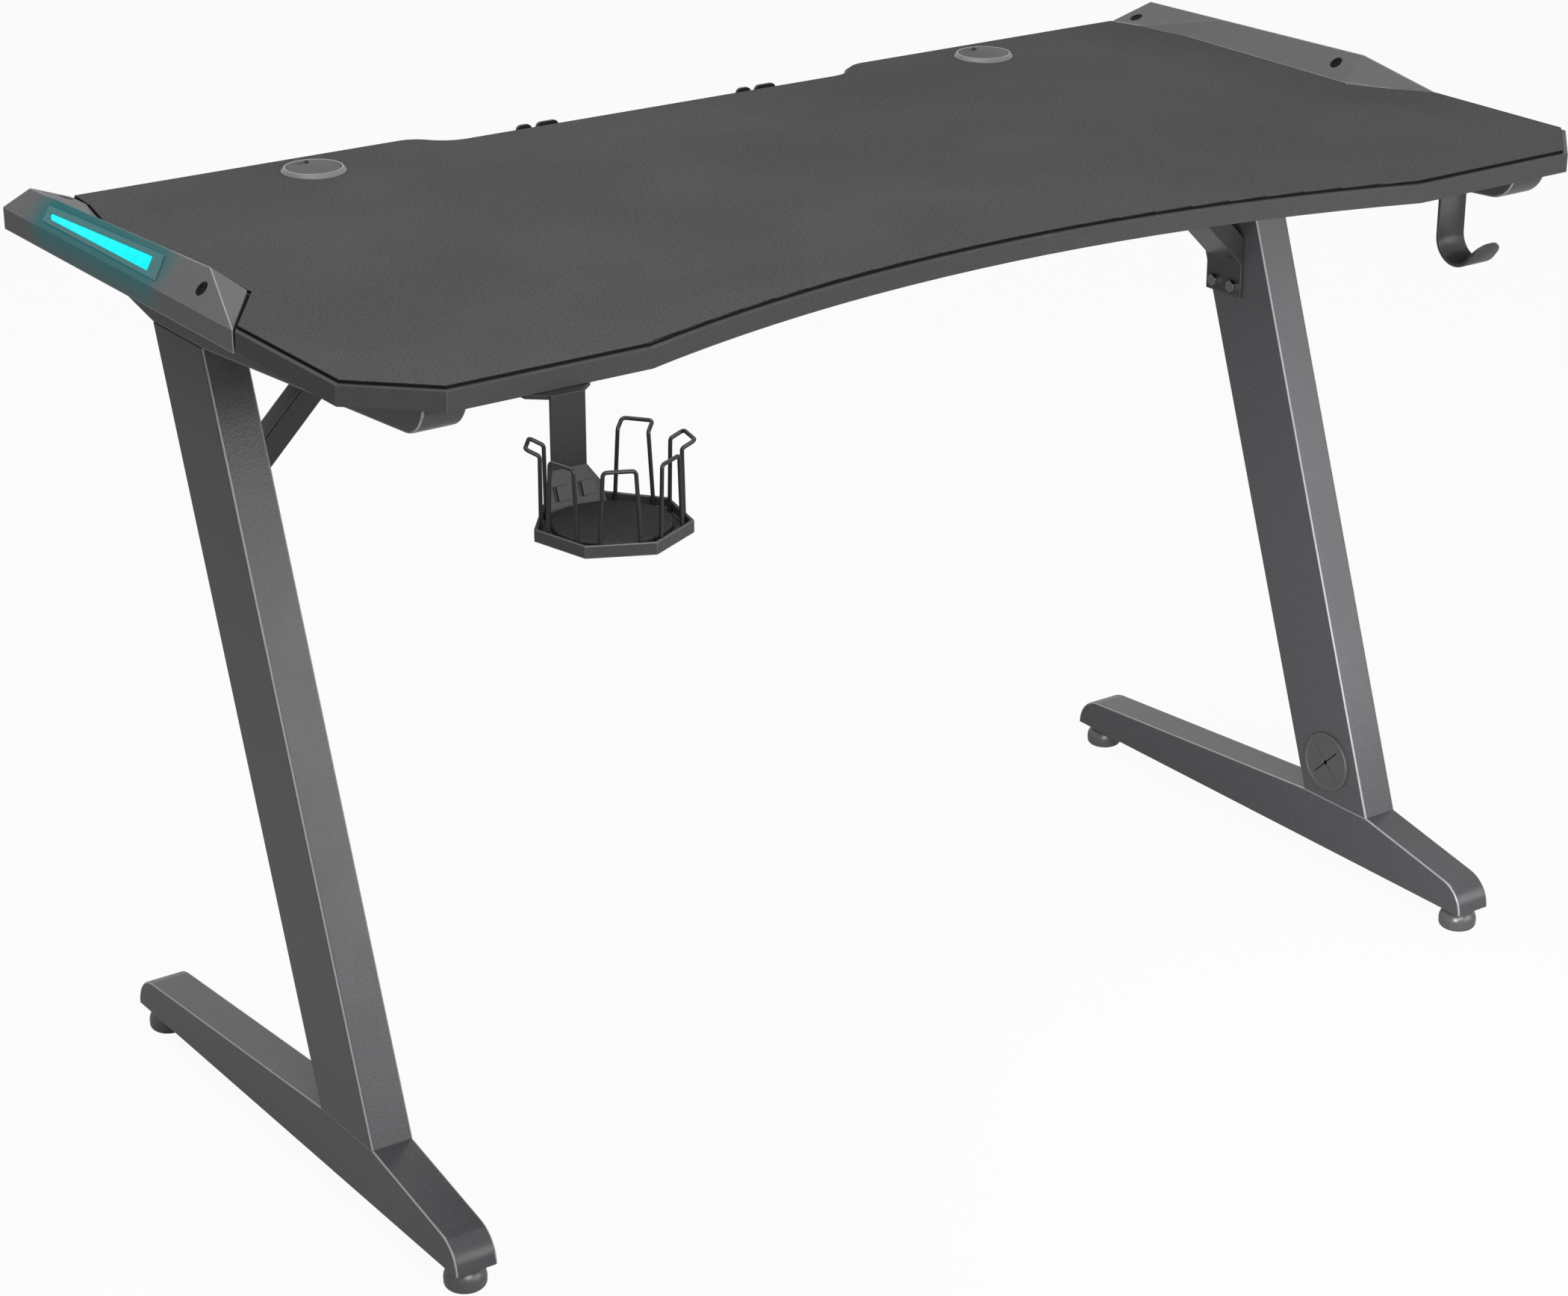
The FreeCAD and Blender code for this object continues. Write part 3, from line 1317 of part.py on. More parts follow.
def wire_loop(normal_angle, top, flare):
    """One loop of the basket, upright inside the dish's rim and drawn in towards its top."""
    radius = number("dim.wire_radius")
    half = number("dim.loop_half")
    top_half = number("dim.loop_top_half")
    floor = number(DISH_FLOOR)
    rim = number(f"{DISH_LOW} + dim.dish_high")
    apothem = number("dim.dish_radius") * math.cos(math.pi / 7) - number("dim.dish_sheet") - radius
    out = V(math.cos(math.radians(normal_angle)), math.sin(math.radians(normal_angle)), 0)
    along = V(-out.y, out.x, 0)
    middle = V(number(CUP_X), number(CUP_Y), 0) + out * apothem
    legs = []
    for hand in (-1, 1):
        foot = middle + along * (hand * half)
        shoulder = middle + along * (hand * top_half) + V(0, 0, top)
        leg_spots = [foot + V(0, 0, floor), foot + V(0, 0, rim), shoulder]
        if flare:
            leg_spots.append(shoulder + out * flare + V(0, 0, flare / 2))
        legs.append(leg_spots)
    return bent_wire(legs[0] + legs[1][::-1], number("dim.wire_bend"), radius)


def cup_holder():
    thick = "dim.sheet_thick"
    front = STRAP_FRONT
    back = f"({front} + {thick})"
    rise = f"({STRAP_KNEE} - {DISH_FLOOR})"
    slant = f"sqrt(dim.strap_toe ^ 2 + {rise} ^ 2)"
    toe_back = f"({STRAP_TOE} + {thick} * {slant} / {rise})"
    bracket = new_body("cup_bracket")
    profile = [
        (STRAP_BACK, "dim.under_height"),
        (front, "dim.under_height"),
        (front, STRAP_KNEE),
        (STRAP_TOE, DISH_FLOOR),
        (toe_back, DISH_FLOOR),
        (back, f"{STRAP_KNEE} - {thick} * ({slant} - {rise}) / dim.strap_toe"),
        (back, SHEET_LOW),
        (STRAP_BACK, SHEET_LOW),
    ]
    wide = "dim.strap_flange_half"
    pad(bracket, "YZ_Plane", f"{CUP_X} - {wide}", profile, f"2 * {wide}")
    for hand in (-1, 1):
        edge = f"({CUP_X} + {hand} * {wide})"
        waist = f"({CUP_X} + {hand} * dim.strap_half)"
        toe = f"({CUP_X} + {hand} * dim.strap_toe_half)"
        trim = [
            (edge, DISH_LOW),
            (edge, SHEET_LOW),
            (waist, SHEET_LOW),
            (waist, STRAP_KNEE),
            (toe, STRAP_SHOULDER),
            (toe, DISH_LOW),
        ]
        cut_path(bracket, "XZ_Plane", f"-{STRAP_BACK}", trim, f"{STRAP_BACK} - {STRAP_TOE}")
        clip = [(waist, front), (edge, front), (edge, f"{front} + dim.strap_clip"), (waist, back)]
        cut_path(bracket, "XY_Plane", SHEET_LOW, clip, thick)
    hole = "dim.screw_radius + dim.screw_clear"
    cut_circles(bracket, "XY_Plane", SHEET_LOW, cup_screw_spots(), hole, thick)
    lug_sketch = sketch_on(bracket, "XY_Plane")
    tilt = f"atan({rise} / dim.strap_toe)"
    spot = f"vector({CUP_X}; {STRAP_TOE}; {DISH_FLOOR})"
    lug_sketch.setExpression("AttachmentOffset", f"placement({spot}; rotation(0; 0; {tilt}))")
    for hand in (-1, 1):
        lug = rectangle("dim.lug_near", "dim.lug_low", "dim.lug_far", "dim.lug_high")
        draw(lug_sketch, lug if hand > 0 else flipped(lug))
    lugs = bracket.newObject("PartDesign::Pad", "cup_bracket_lugs")
    lugs.Profile = lug_sketch
    lugs.setExpression("Length", thick)
    doc.recompute()
    node(bracket)
    dish = new_body("cup_dish")
    inner = f"(dim.dish_radius - dim.dish_sheet / cos({DISH_TURN / 2}))"
    pad(dish, "XY_Plane", DISH_LOW, heptagon("dim.dish_radius"), "dim.dish_high")
    cut_path(dish, "XY_Plane", DISH_FLOOR, heptagon(inner), "dim.dish_high - dim.dish_sheet")
    node(dish)
    cup_pad = new_body("cup_pad")
    revolve(
        cup_pad,
        [
            ("0", "0"),
            ("dim.pad_radius", "0"),
            ("dim.pad_radius", "dim.pad_thick - dim.pad_edge"),
            ("dim.pad_radius - dim.pad_edge", "dim.pad_thick"),
            ("0", "dim.pad_thick"),
        ],
    )
    place(node(cup_pad), CUP_X, CUP_Y, DISH_FLOOR)
    sides = [-90 + DISH_TURN * (index + 0.5) for index in range(7)]
    short = [wire_loop(sides[index], number(LOOP_SHORT), 0) for index in (5, 6, 0)]
    flare = number("dim.loop_flare")
    tall = [wire_loop(sides[index], number(LOOP_TALL), flare) for index in (1, 2, 4)]
    shaped("cup_wires_short", Part.makeCompound(short))
    shaped("cup_wires_tall", Part.makeCompound(tall))
    screws_up("cup_screws", cup_screw_spots(), SHEET_LOW)


# Headphone hook and cable hooks


def headphone_hook():
    thick = "dim.sheet_thick"
    front = HOOK_FRONT
    inner = "dim.hook_radius"
    outer = f"({inner} + {thick})"
    axis_y = f"({front} - {inner})"
    axis_z = HOOK_Z
    lean = "(dim.hook_turn - 90)"

    def bend_end(radius):
        return f"({axis_y} - {radius} * sin({lean}))", f"({axis_z} - {radius} * cos({lean}))"

    def tip_end(radius):
        y, z = bend_end(radius)
        return f"({y} - dim.hook_tip * cos({lean}))", f"({z} + dim.hook_tip * sin({lean}))"

    body = new_body("headphone_hook")
    profile = [
        (HOOK_BACK, "dim.under_height"),
        (front, "dim.under_height"),
        (front, axis_z, inner, "right"),
        (axis_y, f"{axis_z} - {inner}", inner, "right"),
        bend_end(inner),
        tip_end(inner),
        tip_end(outer),
        bend_end(outer) + (outer, "left"),
        (axis_y, f"{axis_z} - {outer}", outer, "left"),
        (f"{front} + {thick}", axis_z),
        (f"{front} + {thick}", SHEET_LOW),
        (HOOK_BACK, SHEET_LOW),
    ]
    pad(body, "YZ_Plane", f"{HOOK_X} - dim.hook_width / 2", profile, "dim.hook_width")
    hole = "dim.screw_radius + dim.screw_clear"
    cut_circles(body, "XY_Plane", SHEET_LOW, hook_screw_spots(), hole, thick)
    round_edges(body, tip_edges(*tip_end(f"({inner} + {thick} / 2)")), "dim.hook_tip_round")
    node(body)
    screws_up("hook_screws", hook_screw_spots(), SHEET_LOW)


def cable_hooks():
    """Two-fingered hooks that stand in the rear recess and keep cables from sliding off."""
    thick = "dim.sheet_thick"
    profile = [
        (CLIP_FRONT, SHEET_LOW),
        (CLIP_REAR, SHEET_LOW),
        (CLIP_REAR, CLIP_TOP),
        (f"{CLIP_REAR} - {thick}", CLIP_TOP),
        (f"{CLIP_REAR} - {thick}", "dim.under_height"),
        (CLIP_FRONT, "dim.under_height"),
    ]
    for hand, side in ((-1, "left"), (1, "right")):
        left = f"({hand} * dim.clip_x - dim.clip_width / 2)"
        body = new_body(f"cable_hook_{side}")
        pad(body, "YZ_Plane", left, profile, "dim.clip_width")
        slot = rectangle(
            f"{left} + dim.clip_gap_left",
            "dim.under_height + dim.clip_slot_low",
            f"{left} + dim.clip_gap_left + dim.clip_gap",
            CLIP_TOP,
        )
        cut_path(body, "XZ_Plane", f"-{CLIP_REAR}", slot, thick)
        spots = [spot for spot in clip_screw_spots() if number(spot[0]) * hand > 0]
        cut_circles(body, "XY_Plane", SHEET_LOW, spots, "dim.screw_radius + dim.screw_clear", thick)
        round_edges(body, end_edges(CLIP_TOP), "dim.clip_round")
        node(body)
    screws_up("cable_hook_screws", clip_screw_spots(), SHEET_LOW)


# Light controller


def light_controller():
    """The control box under the board and its inlet."""
    width = number("dim.box_width")
    depth = number("dim.box_depth")
    high = number("dim.box_high")
    centre = V(number(BOX_X), number(BOX_Y), 0)
    under = number("dim.under_height")
    low = under - high
    case = Part.makeBox(width, depth, high, V(centre.x - width / 2, centre.y - depth / 2, low))
    lower = [edge for edge in case.Edges if edge.CenterOfMass.z < under - 0.01]
    case = case.makeFillet(number("dim.box_round"), lower)
    ear_long = number("dim.ear_long")
    ear_wide = number("dim.ear_wide")
    ear_low = number("dim.under_height - dim.ear_thick")
    hole = number("dim.screw_radius + dim.screw_clear")
    for x, y in box_screw_spots():
        spot = V(number(x), number(y), ear_low)
        ear = Part.makeBox(ear_long, ear_wide, under - ear_low, spot - V(ear_long / 2, ear_wide / 2, 0))
        case = case.fuse(ear).cut(Part.makeCylinder(hole, under - ear_low, spot))
    deep = number("dim.inlet_deep")
    mouth = V(centre.x - number("dim.inlet_across"), centre.y + depth / 2, low + high / 2)
    root = mouth - V(0, deep, 0)
    floor = root + V(0, number("dim.inlet_wall"), 0)
    outside = Part.makeCylinder(number("dim.inlet_radius"), deep, root, V(0, 1, 0))
    bore = Part.makeCylinder(number("dim.inlet_bore"), deep, floor, V(0, 1, 0))
    pin = Part.makeCylinder(number("dim.inlet_pin"), number("dim.inlet_pin_long"), root, V(0, 1, 0))
    shaped("led_controller", case.cut(outside).removeSplitter())
    shaped("led_inlet", outside.cut(bore).fuse(pin).removeSplitter())
    screws_up("led_controller_screws", box_screw_spots(), "dim.under_height - dim.ear_thick")


def light_leads():
    """A lead from the control box to each wing, past the grommet and round the top beam's end."""
    radius = number("dim.lead_radius")
    bend = number("dim.lead_bend")
    run_z = number("dim.under_height - dim.lead_radius")
    dip_z = number(f"{WING_LOW} - dim.lead_radius - dim.lead_gap")
    lane = number(f"{BEAM_HALF} + dim.lead_lane")
    hook_lane = number(f"{CLIP_FRONT} - dim.lead_hook_gap")
    wing_x = number(f"{SIDE} - dim.lead_wing_in")
    box_x = number(BOX_X)
    face_y = number(f"{BOX_Y} + dim.box_depth / 2")
    grommet_x = number(GROMMET_X)
    strip_end = number(f"{LENS_REAR} - dim.strip_inset")
    strip_up = number("dim.lens_low + dim.strip_rise + dim.strip_width / 2")
    face = "dim.bezel_thick - dim.bezel_sink - dim.lens_sink"
    strip_back = number(f"{face} - dim.lens_thick - dim.strip_thick")
    turn = FreeCAD.Rotation(90, 0, math.degrees(math.atan(number("dim.wing_slope"))))
    on_strip = V(strip_end, strip_up, strip_back - number("dim.lead_solder"))
    end = turn.multVec(on_strip) + V(number(SIDE), 0, number(BOARD_TOP))
    into_wing = [
        V(wing_x - 66, lane, run_z),
        V(wing_x - 36, lane, dip_z),
        V(wing_x, lane, dip_z),
        V(wing_x, lane - 30, dip_z),
        V(wing_x + 4, lane - 34, dip_z + 14),
        V(end.x, end.y + 18, end.z),
        end,
    ]
    right = [
        V(box_x + 10, face_y, run_z),
        V(box_x + 10, hook_lane, run_z),
        V(grommet_x - 58, hook_lane, run_z),
        V(grommet_x - 18, lane, run_z),
    ]
    left = [
        V(box_x - 5, face_y, run_z),
        V(box_x - 5, lane, run_z),
    ]
    right += into_wing
    left += [V(-spot.x, spot.y, spot.z) for spot in into_wing]
    shaped("led_lead_right", bent_wire(right, bend, radius))
    shaped("led_lead_left", bent_wire(left, bend, radius))


desktop()
wing()
lights()
wing_brackets()
leg()
cable_port()
crossbeam()
brace()
glides()
grommets()
cup_holder()
headphone_hook()
cable_hooks()
light_controller()
light_leads()
screws_up("board_screws", beam_screw_spots(), "dim.under_height - dim.steel_wall")
doc.recompute()

for thing in doc.Objects:
    if "Invalid" in thing.State or "Error" in thing.State:
        raise RuntimeError(thing.Label + " did not rebuild")
os.makedirs("parts", exist_ok=True)
for thing in nodes:
    if thing.Shape.isNull() or not thing.Shape.isValid():
        raise RuntimeError(thing.Label + " has no valid shape")
    thing.Shape.exportStep("parts/%s.step" % thing.Label)
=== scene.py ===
# %% [markdown]
# # A gaming desk with lit side wings
# The desk is a thin dark board on two steel leg frames that lean like the letter Z. A thin mat covers the
# board, and a plastic wing with a glowing bar runs along each rear side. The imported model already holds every
# solid in its place, in metres, with +X to the user's right, +Y to the rear and the floor at zero. One could
# rebuild each shape here, but the solids are right, so this lesson keeps them and gives each its finish.

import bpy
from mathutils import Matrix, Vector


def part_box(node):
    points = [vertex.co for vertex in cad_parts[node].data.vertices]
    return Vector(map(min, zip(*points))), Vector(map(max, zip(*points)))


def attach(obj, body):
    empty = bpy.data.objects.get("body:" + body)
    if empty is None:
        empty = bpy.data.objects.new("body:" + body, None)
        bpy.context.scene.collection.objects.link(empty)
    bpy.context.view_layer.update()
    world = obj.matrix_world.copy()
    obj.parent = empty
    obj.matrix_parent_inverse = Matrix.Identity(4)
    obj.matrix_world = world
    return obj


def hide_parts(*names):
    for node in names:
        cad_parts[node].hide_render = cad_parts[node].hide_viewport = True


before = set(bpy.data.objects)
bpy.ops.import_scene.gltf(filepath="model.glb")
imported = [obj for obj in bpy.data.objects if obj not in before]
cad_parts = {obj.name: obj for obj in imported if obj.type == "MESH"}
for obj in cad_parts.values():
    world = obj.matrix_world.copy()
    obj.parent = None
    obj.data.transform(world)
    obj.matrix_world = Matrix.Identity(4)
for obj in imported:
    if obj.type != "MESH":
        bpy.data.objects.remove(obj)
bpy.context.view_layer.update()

# %% Bring in Blender
import math

import bpy
import numpy as np
from mathutils import Vector

SIDES = ("left", "right")
WAVES_AT_SCALE_ONE = 20 / math.tau

scene = bpy.context.scene
scene.view_settings.view_transform = "Standard"
print("View transform:", scene.view_settings.view_transform)

# %% [markdown]
# ## The camera
# The desk is seen from its left front and from above, through a long lens, so its parallel edges hardly
# converge. A camera could be turned by eye until the picture fits. Here its place, turn and lens were worked
# out once from the corners of the desktop and feet, and are written down as plain numbers.

# %% Place the camera
PICTURE_WIDTH = 2100
FOCAL_PIXELS = 4908.27
AXIS_LEFT_OF_MIDDLE = 4.36
AXIS_ABOVE_MIDDLE = 43.45
SENSOR_WIDTH = 36
CAMERA_PLACE = (-1.7234, -2.3770, 1.5372)
CAMERA_TURN = (67.956, 0.04, -35.086)

lens = bpy.data.cameras.new("camera")
lens.sensor_fit = "HORIZONTAL"
lens.sensor_width = SENSOR_WIDTH
lens.lens = FOCAL_PIXELS * lens.sensor_width / PICTURE_WIDTH
lens.shift_x = AXIS_LEFT_OF_MIDDLE / PICTURE_WIDTH
lens.shift_y = -AXIS_ABOVE_MIDDLE / PICTURE_WIDTH
camera = bpy.data.objects.new("camera", lens)
camera.location = CAMERA_PLACE
camera.rotation_euler = [math.radians(angle) for angle in CAMERA_TURN]
scene.collection.objects.link(camera)
scene.camera = camera
print("Lens in millimetres:", round(lens.lens, 2))

# %% [markdown]
# ## The floor
# A studio floor is a wide pale sheet. A curved backdrop would hide the horizon, but this camera looks down
# and never meets it, so one level sheet is enough. The sheet glows a little to the camera alone, which
# keeps it white, and the rest of its brightness comes from the lamps, so the desk still drops a soft shadow.

# %% Lay the floor
FLOOR_SIZE = 40
FLOOR_COLOUR = (0.6, 0.6, 0.6, 1)
FLOOR_PALE_SPOT = (0.63, 0.63, 0.63, 1)
FLOOR_MOTTLE = 3
FLOOR_GLOW_SHARE = 0.94

bpy.ops.object.select_all(action="DESELECT")
bpy.ops.mesh.primitive_plane_add(size=FLOOR_SIZE, location=(0, 0, 0))
floor = bpy.context.object
floor.name = "studio_floor"

floor_paper = bpy.data.materials.new("floor_paper")
floor_paper.use_nodes = True
nodes = floor_paper.node_tree.nodes
wire = floor_paper.node_tree.links.new
paper = nodes["Principled BSDF"]
paper.inputs["Roughness"].default_value = 0.9
paper.inputs["Specular IOR Level"].default_value = 0
mottle = nodes.new("ShaderNodeTexNoise")
mottle.inputs["Scale"].default_value = FLOOR_MOTTLE
place = nodes.new("ShaderNodeTexCoord")
tint = nodes.new("ShaderNodeMix")
tint.data_type = "RGBA"
tint.inputs["A"].default_value = FLOOR_COLOUR
tint.inputs["B"].default_value = FLOOR_PALE_SPOT
glow = nodes.new("ShaderNodeEmission")
glow.inputs["Strength"].default_value = 1
rays = nodes.new("ShaderNodeLightPath")
share = nodes.new("ShaderNodeMath")
share.operation = "MULTIPLY"
share.inputs[1].default_value = FLOOR_GLOW_SHARE
blend = nodes.new("ShaderNodeMixShader")
wire(place.outputs["Object"], mottle.inputs["Vector"])
wire(mottle.outputs["Fac"], tint.inputs["Factor"])
wire(tint.outputs["Result"], paper.inputs["Base Color"])
wire(rays.outputs["Is Camera Ray"], share.inputs[0])
wire(share.outputs["Value"], blend.inputs["Fac"])
wire(paper.outputs["BSDF"], blend.inputs[1])
wire(glow.outputs["Emission"], blend.inputs[2])
wire(blend.outputs["Shader"], nodes["Material Output"].inputs["Surface"])
floor.data.materials.append(floor_paper)
print("Floor is", FLOOR_SIZE, "m wide")

# %% [markdown]
# ## The light
# The room is an even grey glow, and it shows white to the camera and in reflections, as a lit studio does.
# Lamps alone would leave hard pools of light. Five soft panels shape the desk: a wide one in front makes the
# leaning columns brighter than their sides, one above lights the desktop, and one at the right shines back
# from the satin columns. A weak one high behind keeps the back from going black, and a small one below the
# desktop reaches the inside of the right leg.

# %% Fill the room with light
ROOM_LEVEL = 0.27

room = bpy.data.worlds.new("studio_room")
scene.world = room
room.use_nodes = True
nodes = room.node_tree.nodes
wire = room.node_tree.links.new
fill = nodes["Background"]
fill.inputs["Color"].default_value = (1, 1, 1, 1)
fill.inputs["Strength"].default_value = ROOM_LEVEL
white = nodes.new("ShaderNodeBackground")
white.inputs["Color"].default_value = (1, 1, 1, 1)
white.inputs["Strength"].default_value = 1
rays = nodes.new("ShaderNodeLightPath")
seen = nodes.new("ShaderNodeMath")
seen.operation = "MAXIMUM"
seen_through = nodes.new("ShaderNodeMath")
seen_through.operation = "MAXIMUM"
blend = nodes.new("ShaderNodeMixShader")
wire(rays.outputs["Is Camera Ray"], seen.inputs[0])
wire(rays.outputs["Is Glossy Ray"], seen.inputs[1])
wire(seen.outputs["Value"], seen_through.inputs[0])
wire(rays.outputs["Is Transmission Ray"], seen_through.inputs[1])
wire(seen_through.outputs["Value"], blend.inputs["Fac"])
wire(fill.outputs["Background"], blend.inputs[1])
wire(white.outputs["Background"], blend.inputs[2])
wire(blend.outputs["Shader"], nodes["World Output"].inputs["Surface"])
print("Room level:", ROOM_LEVEL)

# %% Hang the soft panels
DESK_MIDDLE = Vector((0, 0, 0.42))
RIGHT_LEG = Vector((0.53, -0.15, 0.24))
LOW_SPREAD = math.radians(75)


def soft_panel(name, place, width, height, watts, target):
    """A rectangular lamp that faces a point of the desk."""
    lamp = bpy.data.lights.new(name, "AREA")
    lamp.shape = "RECTANGLE"
    lamp.size = width
    lamp.size_y = height
    lamp.energy = watts
    panel = bpy.data.objects.new(name, lamp)
    panel.location = place
    panel.rotation_euler = (target - Vector(place)).to_track_quat("-Z", "Y").to_euler()
    panel.visible_camera = False
    scene.collection.objects.link(panel)
    return panel


soft_panel("panel_front", (-0.9, -2.8, 1.9), width=2.0, height=1.3, watts=72, target=DESK_MIDDLE)
soft_panel("panel_right", (1.64, -2.75, 1.0), width=2.4, height=1.2, watts=36, target=DESK_MIDDLE)
soft_panel("panel_above", (-1.0, 0.1, 3.3), width=2.4, height=2.2, watts=41, target=DESK_MIDDLE)
soft_panel("panel_rear", (0, 2.2, 3.0), width=2.4, height=0.9, watts=16, target=DESK_MIDDLE)
low_panel = soft_panel(
    "panel_low", (-0.35, -0.85, 0.34), width=0.4, height=0.3, watts=2.4, target=RIGHT_LEG)
low_panel.data.spread = LOW_SPREAD

# %% [markdown]
# ## Effects that several finishes share
# Paint, plastic and rubber all carry a fine grain, soft edges and a little dust. Each could be built again in
# every material, but a node group is made once and gets its own values in each place. A group only gives
# out what changes over the surface. The shader itself stays in the material.

# %% A helper for node groups
def new_effect(name, takes, gives):
    """An empty node group with named sockets, its input node and its output node."""
    tree = bpy.data.node_groups.new(name, "ShaderNodeTree")
    for label, kind in takes:
        tree.interface.new_socket(name=label, in_out="INPUT", socket_type="NodeSocket" + kind)
    for label, kind in gives:
        tree.interface.new_socket(name=label, in_out="OUTPUT", socket_type="NodeSocket" + kind)
    taken = tree.nodes.new("NodeGroupInput")
    given = tree.nodes.new("NodeGroupOutput")
    return tree, taken, given


def spread(tree, value, low, high, to_low, to_high):
    """A Map Range node on a value; the last two may be numbers or sockets."""
    ranged = tree.nodes.new("ShaderNodeMapRange")
    ranged.interpolation_type = "SMOOTHSTEP"
    ranged.inputs["From Min"].default_value = low
    ranged.inputs["From Max"].default_value = high
    for label, end in (("To Min", to_low), ("To Max", to_high)):
        if isinstance(end, (int, float)):
            ranged.inputs[label].default_value = end
        else:
            tree.links.new(end, ranged.inputs[label])
    tree.links.new(value, ranged.inputs["Value"])
    return ranged.outputs["Result"]


def colour_blend(tree, share, first, second):
    """A Mix node between two colour sockets."""
    mixed = tree.nodes.new("ShaderNodeMix")
    mixed.data_type = "RGBA"
    tree.links.new(share, mixed.inputs["Factor"])
    tree.links.new(first, mixed.inputs["A"])
    tree.links.new(second, mixed.inputs["B"])
    return mixed.outputs["Result"]


print("Helpers for effects are ready")

# %% [markdown]
# ### Grain
# A powder coat flows into tiny hills, and a moulded part copies the etched steel of its mould. Both are
# a small noise for the hills and a wide, faint noise for the way the gloss drifts. Sculpting them would take
# millions of faces, so they are bump and roughness.

# %% Build the grain
grain_tree, taken, given = new_effect(
    "surface_grain",
    [("Vector", "Vector"), ("Colour", "Color"), ("Fleck", "Color"), ("Grain", "Float"), ("Cloud", "Float"),
     ("Smooth", "Float"), ("Rough", "Float")],
    [("Colour", "Color"), ("Roughness", "Float"), ("Height", "Float")])
hills = grain_tree.nodes.new("ShaderNodeTexNoise")
hills.inputs["Detail"].default_value = 3
hills.inputs["Roughness"].default_value = 0.55
drift = grain_tree.nodes.new("ShaderNodeTexNoise")
drift.inputs["Detail"].default_value = 2
grain_tree.links.new(taken.outputs["Vector"], hills.inputs["Vector"])
grain_tree.links.new(taken.outputs["Grain"], hills.inputs["Scale"])
grain_tree.links.new(taken.outputs["Vector"], drift.inputs["Vector"])
grain_tree.links.new(taken.outputs["Cloud"], drift.inputs["Scale"])
fleck_share = spread(grain_tree, hills.outputs["Fac"], 0.38, 0.68, 0, 1)
coloured = colour_blend(grain_tree, fleck_share, taken.outputs["Colour"], taken.outputs["Fleck"])
roughened = spread(
    grain_tree, drift.outputs["Fac"], 0.3, 0.7, taken.outputs["Smooth"], taken.outputs["Rough"])
grain_tree.links.new(coloured, given.inputs["Colour"])
grain_tree.links.new(roughened, given.inputs["Roughness"])
grain_tree.links.new(hills.outputs["Fac"], given.inputs["Height"])
print("Grain nodes:", len(grain_tree.nodes))

# %% [markdown]
# ### Soft edges
# No made edge is perfectly sharp: paint pulls round it and a mould has a small radius, so each edge catches a
# thin line of light. Cutting a round along every edge would multiply the faces. The Bevel node rounds the
# normal instead, and where it departs from the true normal it also marks the edge, where each finish paints
# that line of light into its colour as a painted highlight.

# %% Build the soft edges
edge_tree, taken, given = new_effect(
    "soft_edges", [("Radius", "Float")], [("Normal", "Vector"), ("Edge", "Float")])
rounder = edge_tree.nodes.new("ShaderNodeBevel")
rounder.samples = 6
facing = edge_tree.nodes.new("ShaderNodeNewGeometry")
agreement = edge_tree.nodes.new("ShaderNodeVectorMath")
agreement.operation = "DOT_PRODUCT"
edge_tree.links.new(taken.outputs["Radius"], rounder.inputs["Radius"])
edge_tree.links.new(rounder.outputs["Normal"], agreement.inputs[0])
edge_tree.links.new(facing.outputs["Normal"], agreement.inputs[1])
edge_share = spread(edge_tree, agreement.outputs["Value"], 0.8, 0.995, 1, 0)
edge_tree.links.new(rounder.outputs["Normal"], given.inputs["Normal"])
edge_tree.links.new(edge_share, given.inputs["Edge"])
print("Soft edge nodes:", len(edge_tree.nodes))

# %% [markdown]
# ### Dust
# Even a new desk holds a trace of dust where its faces look up. It could be scattered as specks, but at this
# distance only a pale bloom shows, so it is a mask of upward faces broken by a cloudy noise.

# %% Build the dust
dust_tree, taken, given = new_effect(
    "settled_dust",
    [("Vector", "Vector"), ("Colour", "Color"), ("Dust", "Color"), ("Amount", "Float")],
    [("Colour", "Color")])
facing = dust_tree.nodes.new("ShaderNodeNewGeometry")
parts = dust_tree.nodes.new("ShaderNodeSeparateXYZ")
dust_tree.links.new(facing.outputs["Normal"], parts.inputs["Vector"])
level_share = spread(dust_tree, parts.outputs["Z"], 0.75, 1, 0, taken.outputs["Amount"])
patches = dust_tree.nodes.new("ShaderNodeTexNoise")
patches.inputs["Scale"].default_value = 7
patches.inputs["Detail"].default_value = 5
dust_tree.links.new(taken.outputs["Vector"], patches.inputs["Vector"])
dust_share = spread(dust_tree, patches.outputs["Fac"], 0.35, 0.7, 0, level_share)
dusted = colour_blend(dust_tree, dust_share, taken.outputs["Colour"], taken.outputs["Dust"])
dust_tree.links.new(dusted, given.inputs["Colour"])
print("Dust nodes:", len(dust_tree.nodes))

# %% [markdown]
# ### Painted halo round the bars
# The slope round the bar in each wing shows a soft halo. Light thrown by the bar would hardly touch a slope
# that looks the same way, so the halo is painted light: a share that fades with the distance from the bar gives
# a painted tint and glow, on both wings at once because the distance is taken from the size of x. It stays on
# the faces that look away from the desk, because the rest of the moulding is behind the bar.

# %% Build the painted halo
bar_low, bar_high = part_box("led_lens_right")
# The painted halo: a cyan glow and a cyan tint in the wing's colour near the bar.
PAINTED_HALO_GLOW = (0.0, 0.075, 0.08, 1)
PAINTED_HALO_TINT = (0.012, 0.06, 0.064, 1)

